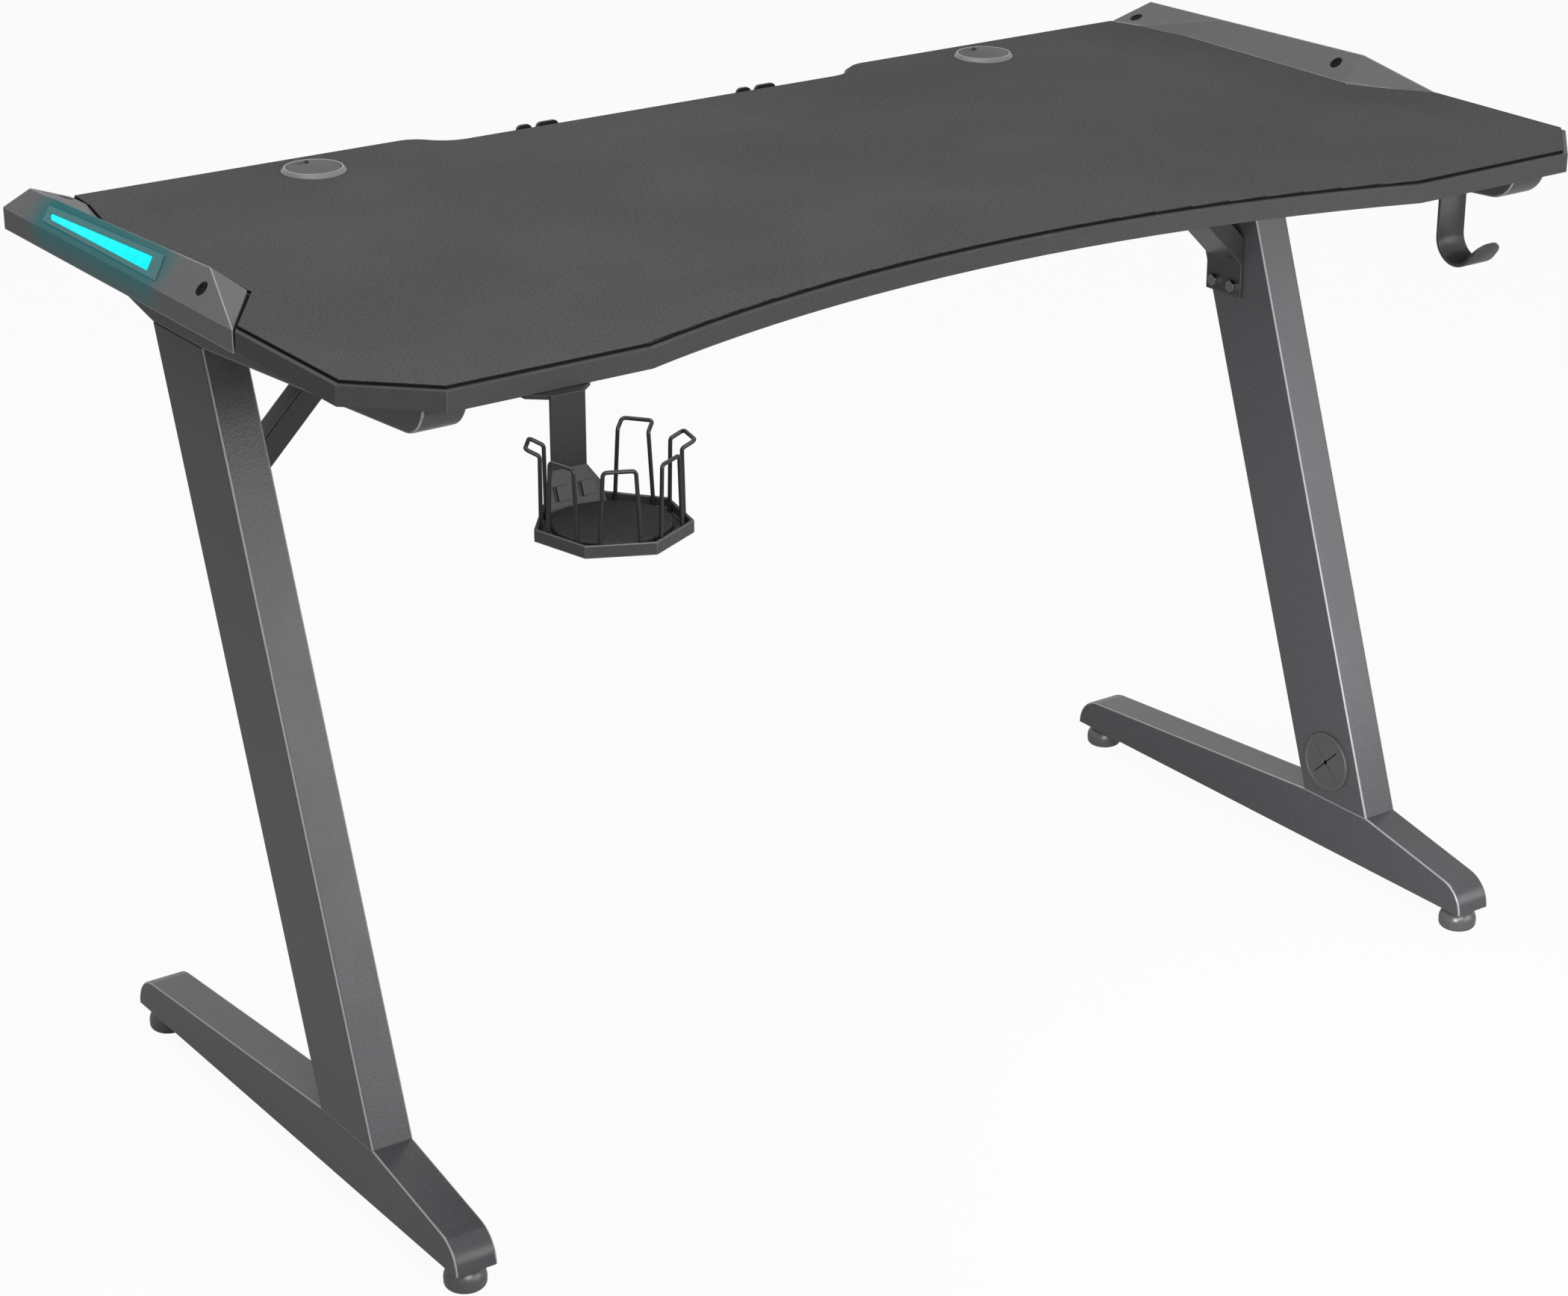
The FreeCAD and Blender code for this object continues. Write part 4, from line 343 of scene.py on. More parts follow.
painted_halo_tree, taken, given = new_effect(
    "painted_bar_halo",
    [("Vector", "Vector"), ("Colour", "Color"), ("Reach", "Float")],
    [("Colour", "Color"), ("Glow", "Color")])
parts = painted_halo_tree.nodes.new("ShaderNodeSeparateXYZ")
painted_halo_tree.links.new(taken.outputs["Vector"], parts.inputs["Vector"])
side = painted_halo_tree.nodes.new("ShaderNodeMath")
side.operation = "ABSOLUTE"
painted_halo_tree.links.new(parts.outputs["X"], side.inputs[0])
here = painted_halo_tree.nodes.new("ShaderNodeCombineXYZ")
painted_halo_tree.links.new(side.outputs["Value"], here.inputs["X"])
painted_halo_tree.links.new(parts.outputs["Y"], here.inputs["Y"])
painted_halo_tree.links.new(parts.outputs["Z"], here.inputs["Z"])
along = painted_halo_tree.nodes.new("ShaderNodeClamp")
along.inputs["Min"].default_value = bar_low.y
along.inputs["Max"].default_value = bar_high.y
painted_halo_tree.links.new(parts.outputs["Y"], along.inputs["Value"])
nearest = painted_halo_tree.nodes.new("ShaderNodeCombineXYZ")
nearest.inputs["X"].default_value = (bar_low.x + bar_high.x) / 2
nearest.inputs["Z"].default_value = (bar_low.z + bar_high.z) / 2
painted_halo_tree.links.new(along.outputs["Result"], nearest.inputs["Y"])
away = painted_halo_tree.nodes.new("ShaderNodeVectorMath")
away.operation = "DISTANCE"
painted_halo_tree.links.new(here.outputs["Vector"], away.inputs[0])
painted_halo_tree.links.new(nearest.outputs["Vector"], away.inputs[1])
fade = painted_halo_tree.nodes.new("ShaderNodeMath")
fade.operation = "DIVIDE"
painted_halo_tree.links.new(away.outputs["Value"], fade.inputs[0])
painted_halo_tree.links.new(taken.outputs["Reach"], fade.inputs[1])
halo = spread(painted_halo_tree, fade.outputs["Value"], 0, 1, 1, 0)
facing = painted_halo_tree.nodes.new("ShaderNodeNewGeometry")
look = painted_halo_tree.nodes.new("ShaderNodeSeparateXYZ")
painted_halo_tree.links.new(facing.outputs["Normal"], look.inputs["Vector"])
hand = painted_halo_tree.nodes.new("ShaderNodeMath")
hand.operation = "SIGN"
painted_halo_tree.links.new(parts.outputs["X"], hand.inputs[0])
outward = painted_halo_tree.nodes.new("ShaderNodeMath")
outward.operation = "MULTIPLY"
painted_halo_tree.links.new(look.outputs["X"], outward.inputs[0])
painted_halo_tree.links.new(hand.outputs["Value"], outward.inputs[1])
shown = spread(painted_halo_tree, outward.outputs["Value"], 0.05, 0.3, 0, halo)
lit = painted_halo_tree.nodes.new("ShaderNodeMix")
lit.data_type = "RGBA"
lit.inputs["A"].default_value = (0, 0, 0, 1)
lit.inputs["B"].default_value = PAINTED_HALO_GLOW
painted_halo_tree.links.new(shown, lit.inputs["Factor"])
tinted = painted_halo_tree.nodes.new("ShaderNodeMix")
tinted.data_type = "RGBA"
tinted.inputs["B"].default_value = PAINTED_HALO_TINT
painted_halo_tree.links.new(shown, tinted.inputs["Factor"])
painted_halo_tree.links.new(taken.outputs["Colour"], tinted.inputs["A"])
painted_halo_tree.links.new(tinted.outputs["Result"], given.inputs["Colour"])
painted_halo_tree.links.new(lit.outputs["Result"], given.inputs["Glow"])
print("Bar lies from", [round(v, 4) for v in bar_low], "to", [round(v, 4) for v in bar_high])

# %% [markdown]
# ## A helper that starts a finish
# Most pieces of the desk are a dark coat or a moulded part, which differ in colour, grain and gloss. One
# helper lays out the shared effects in the same order, coat, dust, edges, bump, and each finish gives it its
# own values. Whatever is the same all over is set on the shader's own sockets.

# %% The finish helper
PLAIN_SPECULAR = 0.5
DUST_GREY = 0.3
BUMP_STRENGTH = 0.25


def place_effect(material, tree, **values):
    """One use of a node group in a material, with its own values."""
    effect = material.node_tree.nodes.new("ShaderNodeGroup")
    effect.node_tree = tree
    for label, value in values.items():
        effect.inputs[label].default_value = value
    return effect


def grey(level, tint=1.0):
    """A neutral colour, with its blue a little stronger where tint is above one."""
    return (level, level, level * tint, 1)


def coated(name, colour, fleck, grain, cloud, smooth, rough, bump, edge, painted_edge_colour, dust,
           specular=PLAIN_SPECULAR, metallic=0):
    """A finish with grain, dust, soft edges with a painted edge highlight, and bump."""
    material = bpy.data.materials.new(name)
    material.use_nodes = True
    tree = material.node_tree
    shader = tree.nodes["Principled BSDF"]
    shader.inputs["Specular IOR Level"].default_value = specular
    shader.inputs["Metallic"].default_value = metallic
    place = tree.nodes.new("ShaderNodeTexCoord")
    grained = place_effect(
        material, grain_tree, Colour=colour, Fleck=fleck, Grain=grain, Cloud=cloud,
        Smooth=smooth, Rough=rough)
    dusted = place_effect(material, dust_tree, Dust=grey(DUST_GREY), Amount=dust)
    edges = place_effect(material, edge_tree, Radius=edge)
    # A paler colour mixed in along the edge mask: a painted highlight on every edge.
    edge_highlighted = tree.nodes.new("ShaderNodeMix")
    edge_highlighted.data_type = "RGBA"
    edge_highlighted.inputs["B"].default_value = painted_edge_colour
    raised = tree.nodes.new("ShaderNodeBump")
    raised.inputs["Strength"].default_value = BUMP_STRENGTH
    raised.inputs["Distance"].default_value = bump
    tree.links.new(place.outputs["Object"], grained.inputs["Vector"])
    tree.links.new(place.outputs["Object"], dusted.inputs["Vector"])
    tree.links.new(grained.outputs["Colour"], dusted.inputs["Colour"])
    tree.links.new(dusted.outputs["Colour"], edge_highlighted.inputs["A"])
    tree.links.new(edges.outputs["Edge"], edge_highlighted.inputs["Factor"])
    tree.links.new(edge_highlighted.outputs["Result"], shader.inputs["Base Color"])
    tree.links.new(grained.outputs["Roughness"], shader.inputs["Roughness"])
    tree.links.new(grained.outputs["Height"], raised.inputs["Height"])
    tree.links.new(edges.outputs["Normal"], raised.inputs["Normal"])
    tree.links.new(raised.outputs["Normal"], shader.inputs["Normal"])
    return material


def dress(slot, material):
    """Puts a finish on every solid of a material slot."""
    dressed = []
    for node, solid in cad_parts.items():
        for holder in solid.material_slots:
            if holder.material and holder.material.name == slot:
                holder.material = material
                dressed.append(node)
    print(material.name, "on", len(dressed), "solids")


print("Finish helpers are ready")

# %% [markdown]
# ## Steel leg frames
# The columns, feet, beams and braces are folded and welded steel tube with a satin powder coat. Metal with
# a thin coat over it would be truer to the making, but the coat is opaque, so it is a dark dielectric with
# an orange-peel grain about two millimetres wide and a gloss that drifts slowly along each tube.

# %% Finish the steel
frame_coat = coated(
    "frame_coat", colour=grey(0.052, 1.08), fleck=grey(0.06, 1.08), grain=420, cloud=11, smooth=0.19,
    rough=0.25, bump=0.0003, edge=0.0012, painted_edge_colour=grey(0.16, 1.03), dust=0.05, specular=0.3)
dress("frame_steel", frame_coat)

# The braces wear a darker copy of the frame coat: painted shade for the shade they sit in under the desktop.
brace_shaded_coat = coated(
    "brace_shaded_coat", colour=grey(0.026, 1.04), fleck=grey(0.032, 1.04), grain=420, cloud=11, smooth=0.24,
    rough=0.3, bump=0.0003, edge=0.0012, painted_edge_colour=grey(0.1, 1.03), dust=0.05, specular=0.3)
for side in SIDES:
    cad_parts["brace_" + side].material_slots[0].material = brace_shaded_coat
print("Braces wear", brace_shaded_coat.name)

# %% [markdown]
# ### The corners of the tubes
# A tube's long corners are rounded by the rolling mill, and each corner shows as a thin pale line of light.
# Paint strokes could be drawn along them, but the corners are just the places where a tube looks neither
# straight sideways nor straight along its web, and the normal tells that, so a pale colour is mixed in there as
# a painted highlight.

# %% Painted highlight on the tube corners
CORNER_HIGHLIGHT_COLOUR = (0.27, 0.275, 0.285, 1)
CORNER_RISE = (0.15, 0.45)
CORNER_FALL = (0.75, 0.96)

tree = frame_coat.node_tree
shader = tree.nodes["Principled BSDF"]
facing = tree.nodes.new("ShaderNodeNewGeometry")
parts = tree.nodes.new("ShaderNodeSeparateXYZ")
tree.links.new(facing.outputs["Normal"], parts.inputs["Vector"])
sideways = tree.nodes.new("ShaderNodeMath")
sideways.operation = "ABSOLUTE"
tree.links.new(parts.outputs["X"], sideways.inputs[0])
corner_start = spread(tree, sideways.outputs["Value"], *CORNER_RISE, 0, 1)
corner_highlight_share = spread(tree, sideways.outputs["Value"], *CORNER_FALL, corner_start, 0)
# A pale colour on the tube corners: a painted highlight.
corner_highlighted = tree.nodes.new("ShaderNodeMix")
corner_highlighted.data_type = "RGBA"
corner_highlighted.inputs["B"].default_value = CORNER_HIGHLIGHT_COLOUR
tree.links.new(corner_highlight_share, corner_highlighted.inputs["Factor"])
tree.links.new(shader.inputs["Base Color"].links[0].from_socket, corner_highlighted.inputs["A"])
tree.links.new(corner_highlighted.outputs["Result"], shader.inputs["Base Color"])
print("Corner colour:", CORNER_HIGHLIGHT_COLOUR[:3])

# %% [markdown]
# ### Sheet and wire
# The smaller steel parts are pressed sheet and bent wire under the same kind of coat. The coat could be one
# material for all, but the wires are blacker than the wide sheets, and the cup's bracket gets a darker copy of
# the sheet grey as painted shade, so each has its own grey. Thin wire also hides the wide drift of gloss, so
# its grain is finer.

# %% Finish the sheet and the wire
sheet_coat = coated(
    "sheet_coat", colour=grey(0.03, 1.02), fleck=grey(0.036, 1.02), grain=520, cloud=14, smooth=0.26,
    rough=0.34, bump=0.0003, edge=0.0014, painted_edge_colour=grey(0.2, 1.02), dust=0.04, specular=0.4)
dress("sheet_steel", sheet_coat)

# A darker copy of the sheet coat: painted shade on the cup's bracket.
shade_darkened_coat = coated(
    "shade_darkened_coat", colour=grey(0.024, 1.02), fleck=grey(0.029, 1.02), grain=520, cloud=14, smooth=0.28,
    rough=0.36, bump=0.0003, edge=0.0008, painted_edge_colour=grey(0.08, 1.02), dust=0.03, specular=0.3)
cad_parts["cup_bracket"].material_slots[0].material = shade_darkened_coat
print("Cup bracket wears", shade_darkened_coat.name)

wire_coat = coated(
    "wire_coat", colour=grey(0.013), fleck=grey(0.018), grain=1500, cloud=30, smooth=0.26, rough=0.34,
    bump=0.0002, edge=0.0003, painted_edge_colour=grey(0.03), dust=0.02, specular=0.3)
dress("wire", wire_coat)
for side in SIDES:
    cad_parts["cable_hook_" + side].material_slots[0].material = wire_coat
print("Cable hooks wear", wire_coat.name)

# %% [markdown]
# ## The headphone hook
# A strap of sheet steel is screwed under the board, drops, and curls forwards into a round-ended hook. The
# packed strap has the right curl but few faces round its end. A curve with a thick line would give a
# soft pipe, so the strap is drawn as a flat strip, spun along its curl, rounded and then given its thickness.

# %% Draw the strap
STRAP_WIDE = 0.0296
STRAP_THICK = 0.003
CURL_RADIUS = 0.0205
CURL_ANGLE = math.radians(143)
CURL_STEPS = 22
TIP_LONG = 0.017
TIP_ROUND = 0.0125
STRAP_FOOT = 0.0435
STRAP_RIM = 0.0005
STRAP_SMOOTH = math.radians(30)
MERGE_GAP = 0.00001
NEAR = 0.0001

low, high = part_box("headphone_hook")
top_z = high.z - STRAP_THICK / 2
curl_z = low.z + CURL_RADIUS + STRAP_THICK / 2
drop_y = high.y - STRAP_FOOT
centre_x = (low.x + high.x) / 2
bpy.ops.object.select_all(action="DESELECT")
bpy.ops.mesh.primitive_plane_add(size=1, location=(0, 0, 0))
strap = bpy.context.object
strap.name = "hook_strap"
bpy.ops.object.mode_set(mode="EDIT")
bpy.ops.transform.resize(value=(STRAP_WIDE, high.y - drop_y, 1))
bpy.ops.transform.translate(value=(centre_x, (high.y + drop_y) / 2, top_z))
print("Strap starts at", [round(v, 4) for v in (centre_x, high.y, top_z)])

# %% Drop and curl it
def select_end(piece, test):
    """Selects the edges of a piece whose two ends pass a test."""
    bpy.ops.object.mode_set(mode="OBJECT")
    points = [vertex.co for vertex in piece.data.vertices]
    for edge in piece.data.edges:
        edge.select = all(test(points[index]) for index in edge.vertices)
    bpy.ops.object.mode_set(mode="EDIT")


bpy.context.tool_settings.mesh_select_mode = (False, True, False)
bpy.ops.mesh.select_all(action="DESELECT")
select_end(strap, lambda point: point.y < drop_y + NEAR)
bpy.ops.mesh.extrude_region_move(TRANSFORM_OT_translate={"value": (0, 0, curl_z - top_z)})
bpy.ops.mesh.spin(
    steps=CURL_STEPS, angle=CURL_ANGLE, center=(centre_x, drop_y - CURL_RADIUS, curl_z), axis=(1, 0, 0))
lean = CURL_ANGLE - math.radians(90)
bpy.ops.mesh.extrude_region_move(
    TRANSFORM_OT_translate={"value": (0, -TIP_LONG * math.cos(lean), TIP_LONG * math.sin(lean))})
bpy.ops.mesh.bevel(offset=TIP_ROUND, segments=9, affect="VERTICES")
bpy.ops.mesh.select_all(action="SELECT")
bpy.ops.mesh.remove_doubles(threshold=MERGE_GAP)
bpy.ops.mesh.normals_make_consistent(inside=False)
bpy.ops.object.mode_set(mode="OBJECT")
print("Strip faces:", len(strap.data.polygons))

# %% Give it its thickness
wall = strap.modifiers.new("wall", "SOLIDIFY")
wall.thickness = STRAP_THICK
wall.offset = 0
wall.use_even_offset = True
rims = strap.modifiers.new("rims", "BEVEL")
rims.width = STRAP_RIM
rims.segments = 2
rims.limit_method = "ANGLE"
rims.angle_limit = math.radians(50)
for step in ("wall", "rims"):
    bpy.ops.object.modifier_apply(modifier=step)
bpy.ops.object.shade_smooth_by_angle(angle=STRAP_SMOOTH)
# The strap wears the darker copy of the sheet coat, which carries painted shade.
strap.data.materials.append(shade_darkened_coat)
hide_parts("headphone_hook")
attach(strap, "desk")
reach = [vertex.co for vertex in strap.data.vertices]
print("Strap box:", [round(min(p[i] for p in reach), 4) for i in range(3)],
      [round(max(p[i] for p in reach), 4) for i in range(3)])

# %% [markdown]
# ## Fasteners
# The bolts that show are blackened steel and the screws and studs underneath are bright zinc plate. Both
# are metal, so their colour is the colour of their reflection, and a fine drifting roughness stands for the
# tumbled surface of a cheap fastener.

# %% Finish the fasteners
bolt_black = coated(
    "bolt_black", colour=grey(0.16), fleck=grey(0.2), grain=1800, cloud=160, smooth=0.2, rough=0.3,
    bump=0.0001, edge=0.0003, painted_edge_colour=grey(0.3), dust=0.02, metallic=1)
dress("black_bolts", bolt_black)

zinc_plate = coated(
    "zinc_plate", colour=(0.52, 0.53, 0.55, 1), fleck=(0.62, 0.62, 0.6, 1), grain=700, cloud=120,
    smooth=0.22, rough=0.4, bump=0.0001, edge=0.0003, painted_edge_colour=(0.75, 0.75, 0.76, 1), dust=0.03,
    metallic=1)
dress("bright_steel", zinc_plate)

# %% [markdown]
# ## The board
# The desktop is a particle board in a dark foil, with a plain band glued round its edge. The foil has
# a fine pressed grain and no wood figure. Its lower face and the cable recess show the same foil.

# %% Finish the board
board_foil = coated(
    "board_foil", colour=grey(0.047, 1.03), fleck=grey(0.055, 1.03), grain=600, cloud=9, smooth=0.42,
    rough=0.52, bump=0.0002, edge=0.0012, painted_edge_colour=grey(0.2, 1.03), dust=0.05, specular=0.12)
dress("board", board_foil)

# %% [markdown]
# ## The mat
# A thin matt plastic mat covers nearly the whole desktop. Its face is pressed with a weave so fine that from
# here it reads as a soft speckle. Threads could be drawn one by one, but two crossed waves of under two
# millimetres and a cloudy noise give the pressed weave at its right size. Faces that don't look up are nearly
# black, painted shade for the mat's shadowed sides.

# %% Finish the mat
WEAVE_PER_METRE = 582.594
WEAVE_SHARE = 0.25
SHADED_SIDE_GREY = 0.01

mat_skin = bpy.data.materials.new("mat_skin")
mat_skin.use_nodes = True
tree = mat_skin.node_tree
nodes = tree.nodes
wire = tree.links.new
shader = nodes["Principled BSDF"]
shader.inputs["Specular IOR Level"].default_value = 0.03
place = nodes.new("ShaderNodeTexCoord")
ribs = []
for direction in ("X", "Y"):
    rib = nodes.new("ShaderNodeTexWave")
    rib.wave_type = "BANDS"
    rib.bands_direction = direction
    rib.inputs["Scale"].default_value = WEAVE_PER_METRE / WAVES_AT_SCALE_ONE
    rib.inputs["Distortion"].default_value = 0.6
    wire(place.outputs["Object"], rib.inputs["Vector"])
    ribs.append(rib)
weave = nodes.new("ShaderNodeMath")
weave.operation = "MULTIPLY"
wire(ribs[0].outputs["Fac"], weave.inputs[0])
wire(ribs[1].outputs["Fac"], weave.inputs[1])
grained = place_effect(
    mat_skin, grain_tree, Colour=grey(0.068), Fleck=grey(0.092), Grain=420, Cloud=4,
    Smooth=0.8, Rough=0.92)
wire(place.outputs["Object"], grained.inputs["Vector"])
dusted = place_effect(mat_skin, dust_tree, Dust=grey(0.22), Amount=0.06)
wire(place.outputs["Object"], dusted.inputs["Vector"])
wire(grained.outputs["Colour"], dusted.inputs["Colour"])
stitched = nodes.new("ShaderNodeMix")
stitched.data_type = "RGBA"
stitched.blend_type = "MULTIPLY"
stitched.inputs["Factor"].default_value = WEAVE_SHARE
wire(dusted.outputs["Colour"], stitched.inputs["A"])
wire(spread(tree, weave.outputs["Value"], 0, 0.8, 0.7, 1.1), stitched.inputs["B"])
facing = nodes.new("ShaderNodeNewGeometry")
parts = nodes.new("ShaderNodeSeparateXYZ")
wire(facing.outputs["Normal"], parts.inputs["Vector"])
# Faces that don't look up turn nearly black: painted shade on the mat's sides.
shaded_sides = nodes.new("ShaderNodeMix")
shaded_sides.data_type = "RGBA"
shaded_sides.inputs["A"].default_value = grey(SHADED_SIDE_GREY)
wire(spread(tree, parts.outputs["Z"], 0.35, 0.9, 0, 1), shaded_sides.inputs["Factor"])
wire(stitched.outputs["Result"], shaded_sides.inputs["B"])
wire(shaded_sides.outputs["Result"], shader.inputs["Base Color"])
wire(grained.outputs["Roughness"], shader.inputs["Roughness"])
raised = nodes.new("ShaderNodeBump")
raised.inputs["Strength"].default_value = 0.3
raised.inputs["Distance"].default_value = 0.0003
wire(weave.outputs["Value"], raised.inputs["Height"])
wire(raised.outputs["Normal"], shader.inputs["Normal"])
dress("mat", mat_skin)

# %% [markdown]
# ## The lit wings
# Each wing is a hollow moulding in dark satin plastic with an etched grain, and the bar sits in a glossy
# surround. Both take the bar's painted halo, a tint and a faint glow that fade within a few centimetres.
# The screws and the rings round them are near black, as painted shade for their holes.

# %% Finish the wings
def add_painted_halo(material, reach):
    """Puts the bar's painted halo, a tint and a glow, between a finish's colour and its shader."""
    tree = material.node_tree
    shader = tree.nodes["Principled BSDF"]
    place = tree.nodes.new("ShaderNodeTexCoord")
    painted_halo = place_effect(material, painted_halo_tree, Reach=reach)
    tree.links.new(place.outputs["Object"], painted_halo.inputs["Vector"])
    tree.links.new(shader.inputs["Base Color"].links[0].from_socket, painted_halo.inputs["Colour"])
    tree.links.new(painted_halo.outputs["Colour"], shader.inputs["Base Color"])
    tree.links.new(painted_halo.outputs["Glow"], shader.inputs["Emission Color"])
    shader.inputs["Emission Strength"].default_value = 1


# The wing's edges take a strong painted highlight.
wing_moulding = coated(
    "wing_moulding", colour=grey(0.118, 1.02), fleck=grey(0.134, 1.02), grain=700, cloud=14, smooth=0.42,
    rough=0.5, bump=0.0002, edge=0.0022, painted_edge_colour=grey(0.5, 1.02), dust=0.03, specular=0.06)
add_painted_halo(wing_moulding, reach=0.042)
dress("wing_plastic", wing_moulding)

bezel_gloss = coated(
    "bezel_gloss", colour=grey(0.05), fleck=grey(0.058), grain=1600, cloud=12, smooth=0.25, rough=0.34,
    bump=0.0001, edge=0.0004, painted_edge_colour=grey(0.09), dust=0.02, specular=0.3)
add_painted_halo(bezel_gloss, reach=0.06)
dress("bezel", bezel_gloss)

# Near black: painted shade for the holes of the wing screws and for the grooves round the surrounds.
painted_shade_black = coated(
    "painted_shade_black", colour=grey(0.003), fleck=grey(0.005), grain=1500, cloud=60, smooth=0.5, rough=0.6,
    bump=0.0001, edge=0.0002, painted_edge_colour=grey(0.006), dust=0, specular=0.04)
for side in SIDES:
    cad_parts["wing_screws_" + side].material_slots[0].material = painted_shade_black
print("Wing screws wear", painted_shade_black.name)

# %% [markdown]
# ## The glowing bars
# A bar is a strip of milky acrylic over a row of small lamps, so it glows evenly and a touch stronger
# over each lamp. A plain glow would look like a cut-out, so the strength ripples faintly along the bar.

# %% Finish the bars
BAR_BETWEEN_LAMPS = (0, 0.9, 0.94, 1)
BAR_OVER_LAMP = (0.004, 0.93, 0.96, 1)
MILK_BETWEEN_LAMPS = (0, 0.03, 0.03, 1)
MILK_OVER_LAMP = (0, 0.045, 0.045, 1)
LAMPS_PER_METRE = 60.479

bar_glow = bpy.data.materials.new("bar_glow")
bar_glow.use_nodes = True
tree = bar_glow.node_tree
nodes = tree.nodes
wire = tree.links.new
shader = nodes["Principled BSDF"]
shader.inputs["Roughness"].default_value = 0.35
shader.inputs["Specular IOR Level"].default_value = 0.05
shader.inputs["Emission Strength"].default_value = 1
place = nodes.new("ShaderNodeTexCoord")
lamps = nodes.new("ShaderNodeTexWave")
lamps.wave_type = "BANDS"
lamps.bands_direction = "Y"
lamps.inputs["Scale"].default_value = LAMPS_PER_METRE / WAVES_AT_SCALE_ONE
lamps.inputs["Distortion"].default_value = 0
wire(place.outputs["Object"], lamps.inputs["Vector"])
rippled = nodes.new("ShaderNodeMix")
rippled.data_type = "RGBA"
rippled.inputs["A"].default_value = BAR_BETWEEN_LAMPS
rippled.inputs["B"].default_value = BAR_OVER_LAMP
wire(lamps.outputs["Fac"], rippled.inputs["Factor"])
wire(rippled.outputs["Result"], shader.inputs["Emission Color"])
milky = nodes.new("ShaderNodeMix")
milky.data_type = "RGBA"
milky.inputs["A"].default_value = MILK_BETWEEN_LAMPS
milky.inputs["B"].default_value = MILK_OVER_LAMP
wire(lamps.outputs["Fac"], milky.inputs["Factor"])
wire(milky.outputs["Result"], shader.inputs["Base Color"])
dress("light", bar_glow)

circuit_white = coated(
    "circuit_white", colour=grey(0.7), fleck=grey(0.78), grain=900, cloud=60, smooth=0.4, rough=0.5,
    bump=0.0001, edge=0.0002, painted_edge_colour=grey(0.6), dust=0)
dress("circuit", circuit_white)

# %% [markdown]
# ## The bars' round corners
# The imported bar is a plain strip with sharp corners, but the real one is cut from sheet with rounded corners
# and a softened face. It could be built anew from a cube. A merged copy of the strip already lies in its
# slot, so its four short edges are bevelled, then the rim of its face, as by hand.

# %% Helpers for shaping a copy
SMOOTH_ANGLE = math.radians(35)


def merged_copy(name, node):
    """A copy of a solid with its own merged mesh, active and with nothing in it selected."""
    piece = bpy.data.objects.new(name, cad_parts[node].data.copy())
    scene.collection.objects.link(piece)
    bpy.ops.object.select_all(action="DESELECT")
    piece.select_set(True)
    bpy.context.view_layer.objects.active = piece
    bpy.ops.object.mode_set(mode="EDIT")
    bpy.ops.mesh.select_all(action="SELECT")
    bpy.ops.mesh.remove_doubles(threshold=MERGE_GAP)
    bpy.ops.mesh.dissolve_limited(angle_limit=math.radians(1))
    bpy.ops.mesh.select_all(action="DESELECT")
    bpy.ops.object.mode_set(mode="OBJECT")
    return piece


def widest_face(piece):
    """The largest face of a piece that looks up."""
    return max((face for face in piece.data.polygons if face.normal.z > 0.1), key=lambda face: face.area)


def edit_edges(piece, chosen):
    """Opens a piece in edit mode with just the chosen edges selected."""
    bpy.context.tool_settings.mesh_select_mode = (False, True, False)
    for edge in piece.data.edges:
        edge.select = edge.index in chosen
    bpy.ops.object.mode_set(mode="EDIT")


print("Shaping helpers are ready")

# %% Round the bars
BAR_CORNER = 0.0024
BAR_RIM = 0.0005

for side in SIDES:
    bar = merged_copy("light_bar_" + side, "led_lens_" + side)
    outward = widest_face(bar).normal.copy()
    points = [vertex.co for vertex in bar.data.vertices]
    short = set()
    for edge in bar.data.edges:
        run = points[edge.vertices[1]] - points[edge.vertices[0]]
        if abs(run.normalized().dot(outward)) > 0.99:
            short.add(edge.index)
    edit_edges(bar, short)
    bpy.ops.mesh.bevel(offset=BAR_CORNER, segments=4, affect="EDGES")
    bpy.ops.mesh.select_all(action="DESELECT")
    bpy.ops.object.mode_set(mode="OBJECT")
    rim = set(bar.data.edge_keys.index(key) for key in widest_face(bar).edge_keys)
    edit_edges(bar, rim)
    bpy.ops.mesh.bevel(offset=BAR_RIM, segments=2, affect="EDGES")
    bpy.ops.object.mode_set(mode="OBJECT")
    bpy.ops.object.shade_smooth_by_angle(angle=SMOOTH_ANGLE)
    bar.data.materials.clear()
    bar.data.materials.append(bar_glow)
    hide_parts("led_lens_" + side)
    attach(bar, "desk")
    print(bar.name, "corners:", len(short), "faces:", len(bar.data.polygons))

# %% [markdown]
# ## The dark line round each surround
# A moulded surround sits in its wing in a narrow groove, and the groove shows as a dark line. It could be
# painted on the wing, but then it would have no depth. A near-black copy of the surround, swollen by about a
# millimetre and sunk, stands out all round it as painted shade for the groove.

# %% Lay the dark groove lines
GROOVE_SHADE_LIP = 0.0013
GROOVE_SHADE_SINK = 0.0019

for side in SIDES:
    groove_shade = merged_copy("bezel_groove_shade_" + side, "led_bezel_" + side)
    inward = -widest_face(groove_shade).normal
    bpy.ops.object.mode_set(mode="EDIT")
    bpy.ops.mesh.select_all(action="SELECT")
    bpy.ops.transform.shrink_fatten(value=GROOVE_SHADE_LIP)
    bpy.ops.transform.translate(value=inward * GROOVE_SHADE_SINK)
    bpy.ops.object.mode_set(mode="OBJECT")
    groove_shade.data.materials.clear()
    groove_shade.data.materials.append(painted_shade_black)
    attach(groove_shade, "desk")
    print(groove_shade.name, "faces:", len(groove_shade.data.polygons))

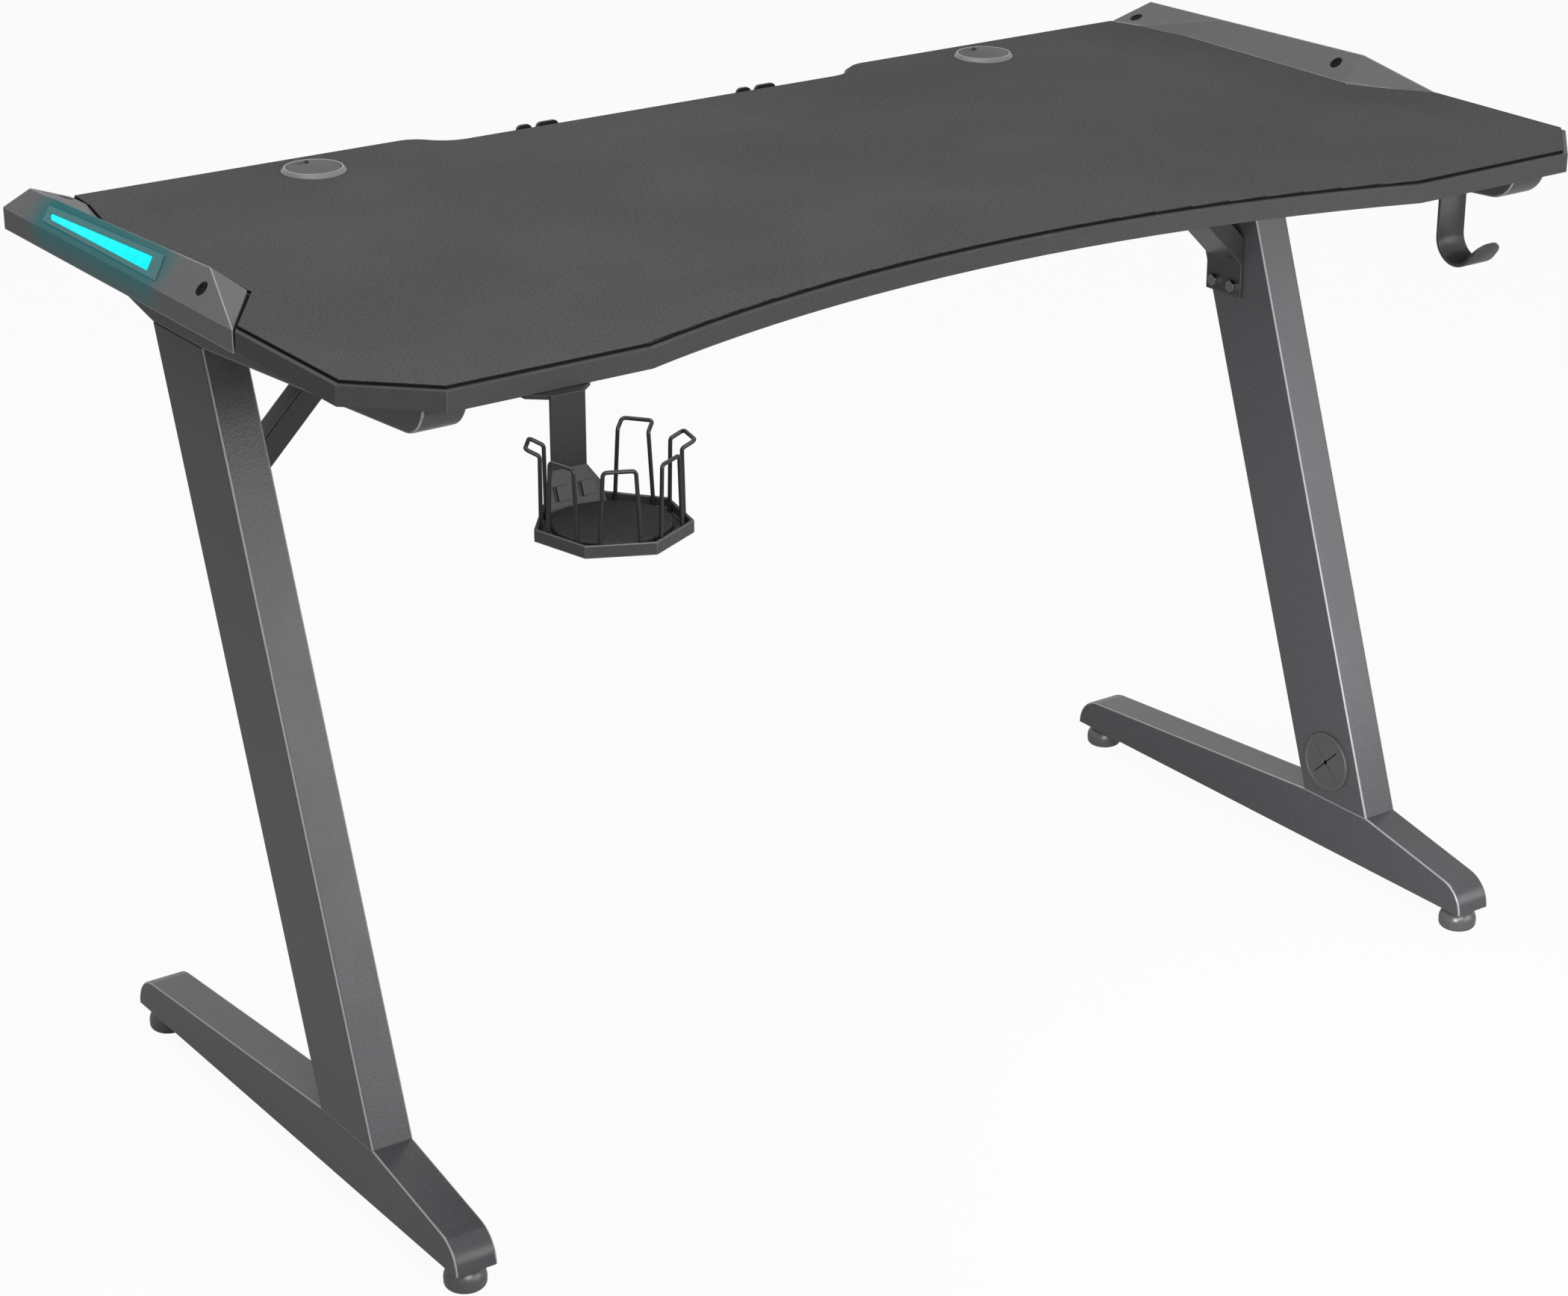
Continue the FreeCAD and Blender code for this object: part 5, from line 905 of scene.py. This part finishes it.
# %% [markdown]
# ## Dark rings round the wing screws
# Each wing is held by three screws in holes, which from a step away are just dark holes. A hole could be cut,
# but the moulding is already packed. A short near-black ring, made once from a tube with a wall and soft rims,
# is copied to every screw and turned along it, and with the near-black screws it is painted shade for the
# holes.

# %% Find the wing screws
SCREW_SPACE = 0.008


def screw_seats(node):
    """The head's middle and the outward direction of each screw of a solid."""
    spots = np.array([vertex.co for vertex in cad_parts[node].data.vertices])
    spots = spots[np.argsort(spots[:, 1])]
    breaks = np.nonzero(np.diff(spots[:, 1]) > SCREW_SPACE)[0] + 1
    seats = []
    for screw in np.split(spots, breaks):
        middle = screw.mean(axis=0)
        along = np.linalg.eigh(np.cov((screw - middle).T))[1][:, -1]
        along = along * np.sign(along[2])
        reach = (screw - middle) @ along
        seats.append((Vector(middle + along * reach.max()), Vector(along)))
    return seats


for side in SIDES:
    print(side, [[round(v, 4) for v in seat] for seat, along in screw_seats("wing_screws_" + side)])

# %% Shape one dark ring and copy it
CUP_RADIUS = 0.0062
CUP_WALL = 0.0036
CUP_DEPTH = 0.0012
CUP_PROUD = 0.0004
CUP_RIM = 0.0003

bpy.ops.object.select_all(action="DESELECT")
bpy.ops.mesh.primitive_cylinder_add(
    vertices=40, radius=CUP_RADIUS, depth=CUP_DEPTH, end_fill_type="NOTHING")
cup = bpy.context.object
wall = cup.modifiers.new("wall", "SOLIDIFY")
wall.thickness = CUP_WALL
wall.offset = -1
wall.use_even_offset = True
rims = cup.modifiers.new("rims", "BEVEL")
rims.width = CUP_RIM
rims.segments = 2
for step in ("wall", "rims"):
    bpy.ops.object.modifier_apply(modifier=step)
bpy.ops.object.shade_smooth_by_angle(angle=SMOOTH_ANGLE)
cup.data.materials.append(painted_shade_black)

for side in SIDES:
    for number, (seat, along) in enumerate(screw_seats("wing_screws_" + side), start=1):
        ring = bpy.data.objects.new("screw_hole_shade_%s_%d" % (side, number), cup.data.copy())
        turned = along.to_track_quat("Z", "Y").to_matrix().to_4x4()
        turned.translation = seat + along * (CUP_PROUD - CUP_DEPTH / 2)
        ring.data.transform(turned)
        scene.collection.objects.link(ring)
        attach(ring, "desk")
bpy.data.objects.remove(cup)

# %% [markdown]
# ## Rubber, glides, grommets, leads
# The small moulded parts are all black to the eye but differ by touch: chalky rubber, slightly shiny glides,
# satin grommets with a darker lid, and a smooth sheath on the leads. Each gets its own gloss and grain.

# %% Finish the small parts
port_rubber = coated(
    "port_rubber", colour=grey(0.045), fleck=grey(0.055), grain=1300, cloud=25, smooth=0.5, rough=0.62,
    bump=0.0002, edge=0.0006, painted_edge_colour=grey(0.1), dust=0.04)
dress("rubber", port_rubber)

# The pad's rim takes a painted highlight line.
pad_foam = coated(
    "pad_foam", colour=grey(0.012), fleck=grey(0.018), grain=1700, cloud=40, smooth=0.6, rough=0.75,
    bump=0.0003, edge=0.0008, painted_edge_colour=grey(0.16), dust=0.02, specular=0.2)
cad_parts["cup_pad"].material_slots[0].material = pad_foam
print("Cup pad wears", pad_foam.name)

glide_plastic = coated(
    "glide_plastic", colour=grey(0.06), fleck=grey(0.072), grain=1200, cloud=40, smooth=0.26, rough=0.36,
    bump=0.0002, edge=0.0006, painted_edge_colour=grey(0.1), dust=0.03)
dress("glide", glide_plastic)

grommet_gloss = coated(
    "grommet_gloss", colour=grey(0.15), fleck=grey(0.165), grain=900, cloud=30, smooth=0.32, rough=0.4,
    bump=0.0001, edge=0.0006, painted_edge_colour=grey(0.26), dust=0.03)
dress("grommet", grommet_gloss)

lid_satin = coated(
    "lid_satin", colour=grey(0.068), fleck=grey(0.078), grain=1300, cloud=20, smooth=0.5, rough=0.6,
    bump=0.0002, edge=0.0006, painted_edge_colour=grey(0.14), dust=0.03, specular=0.12)
dress("grommet_cap", lid_satin)

box_plastic = coated(
    "box_plastic", colour=grey(0.025), fleck=grey(0.034), grain=1200, cloud=30, smooth=0.42, rough=0.55,
    bump=0.0002, edge=0.0006, painted_edge_colour=grey(0.06), dust=0.02)
dress("black_plastic", box_plastic)

lead_sheath = coated(
    "lead_sheath", colour=grey(0.02), fleck=grey(0.026), grain=1600, cloud=40, smooth=0.38, rough=0.5,
    bump=0.0001, edge=0.0002, painted_edge_colour=grey(0.04), dust=0)
dress("lead", lead_sheath)
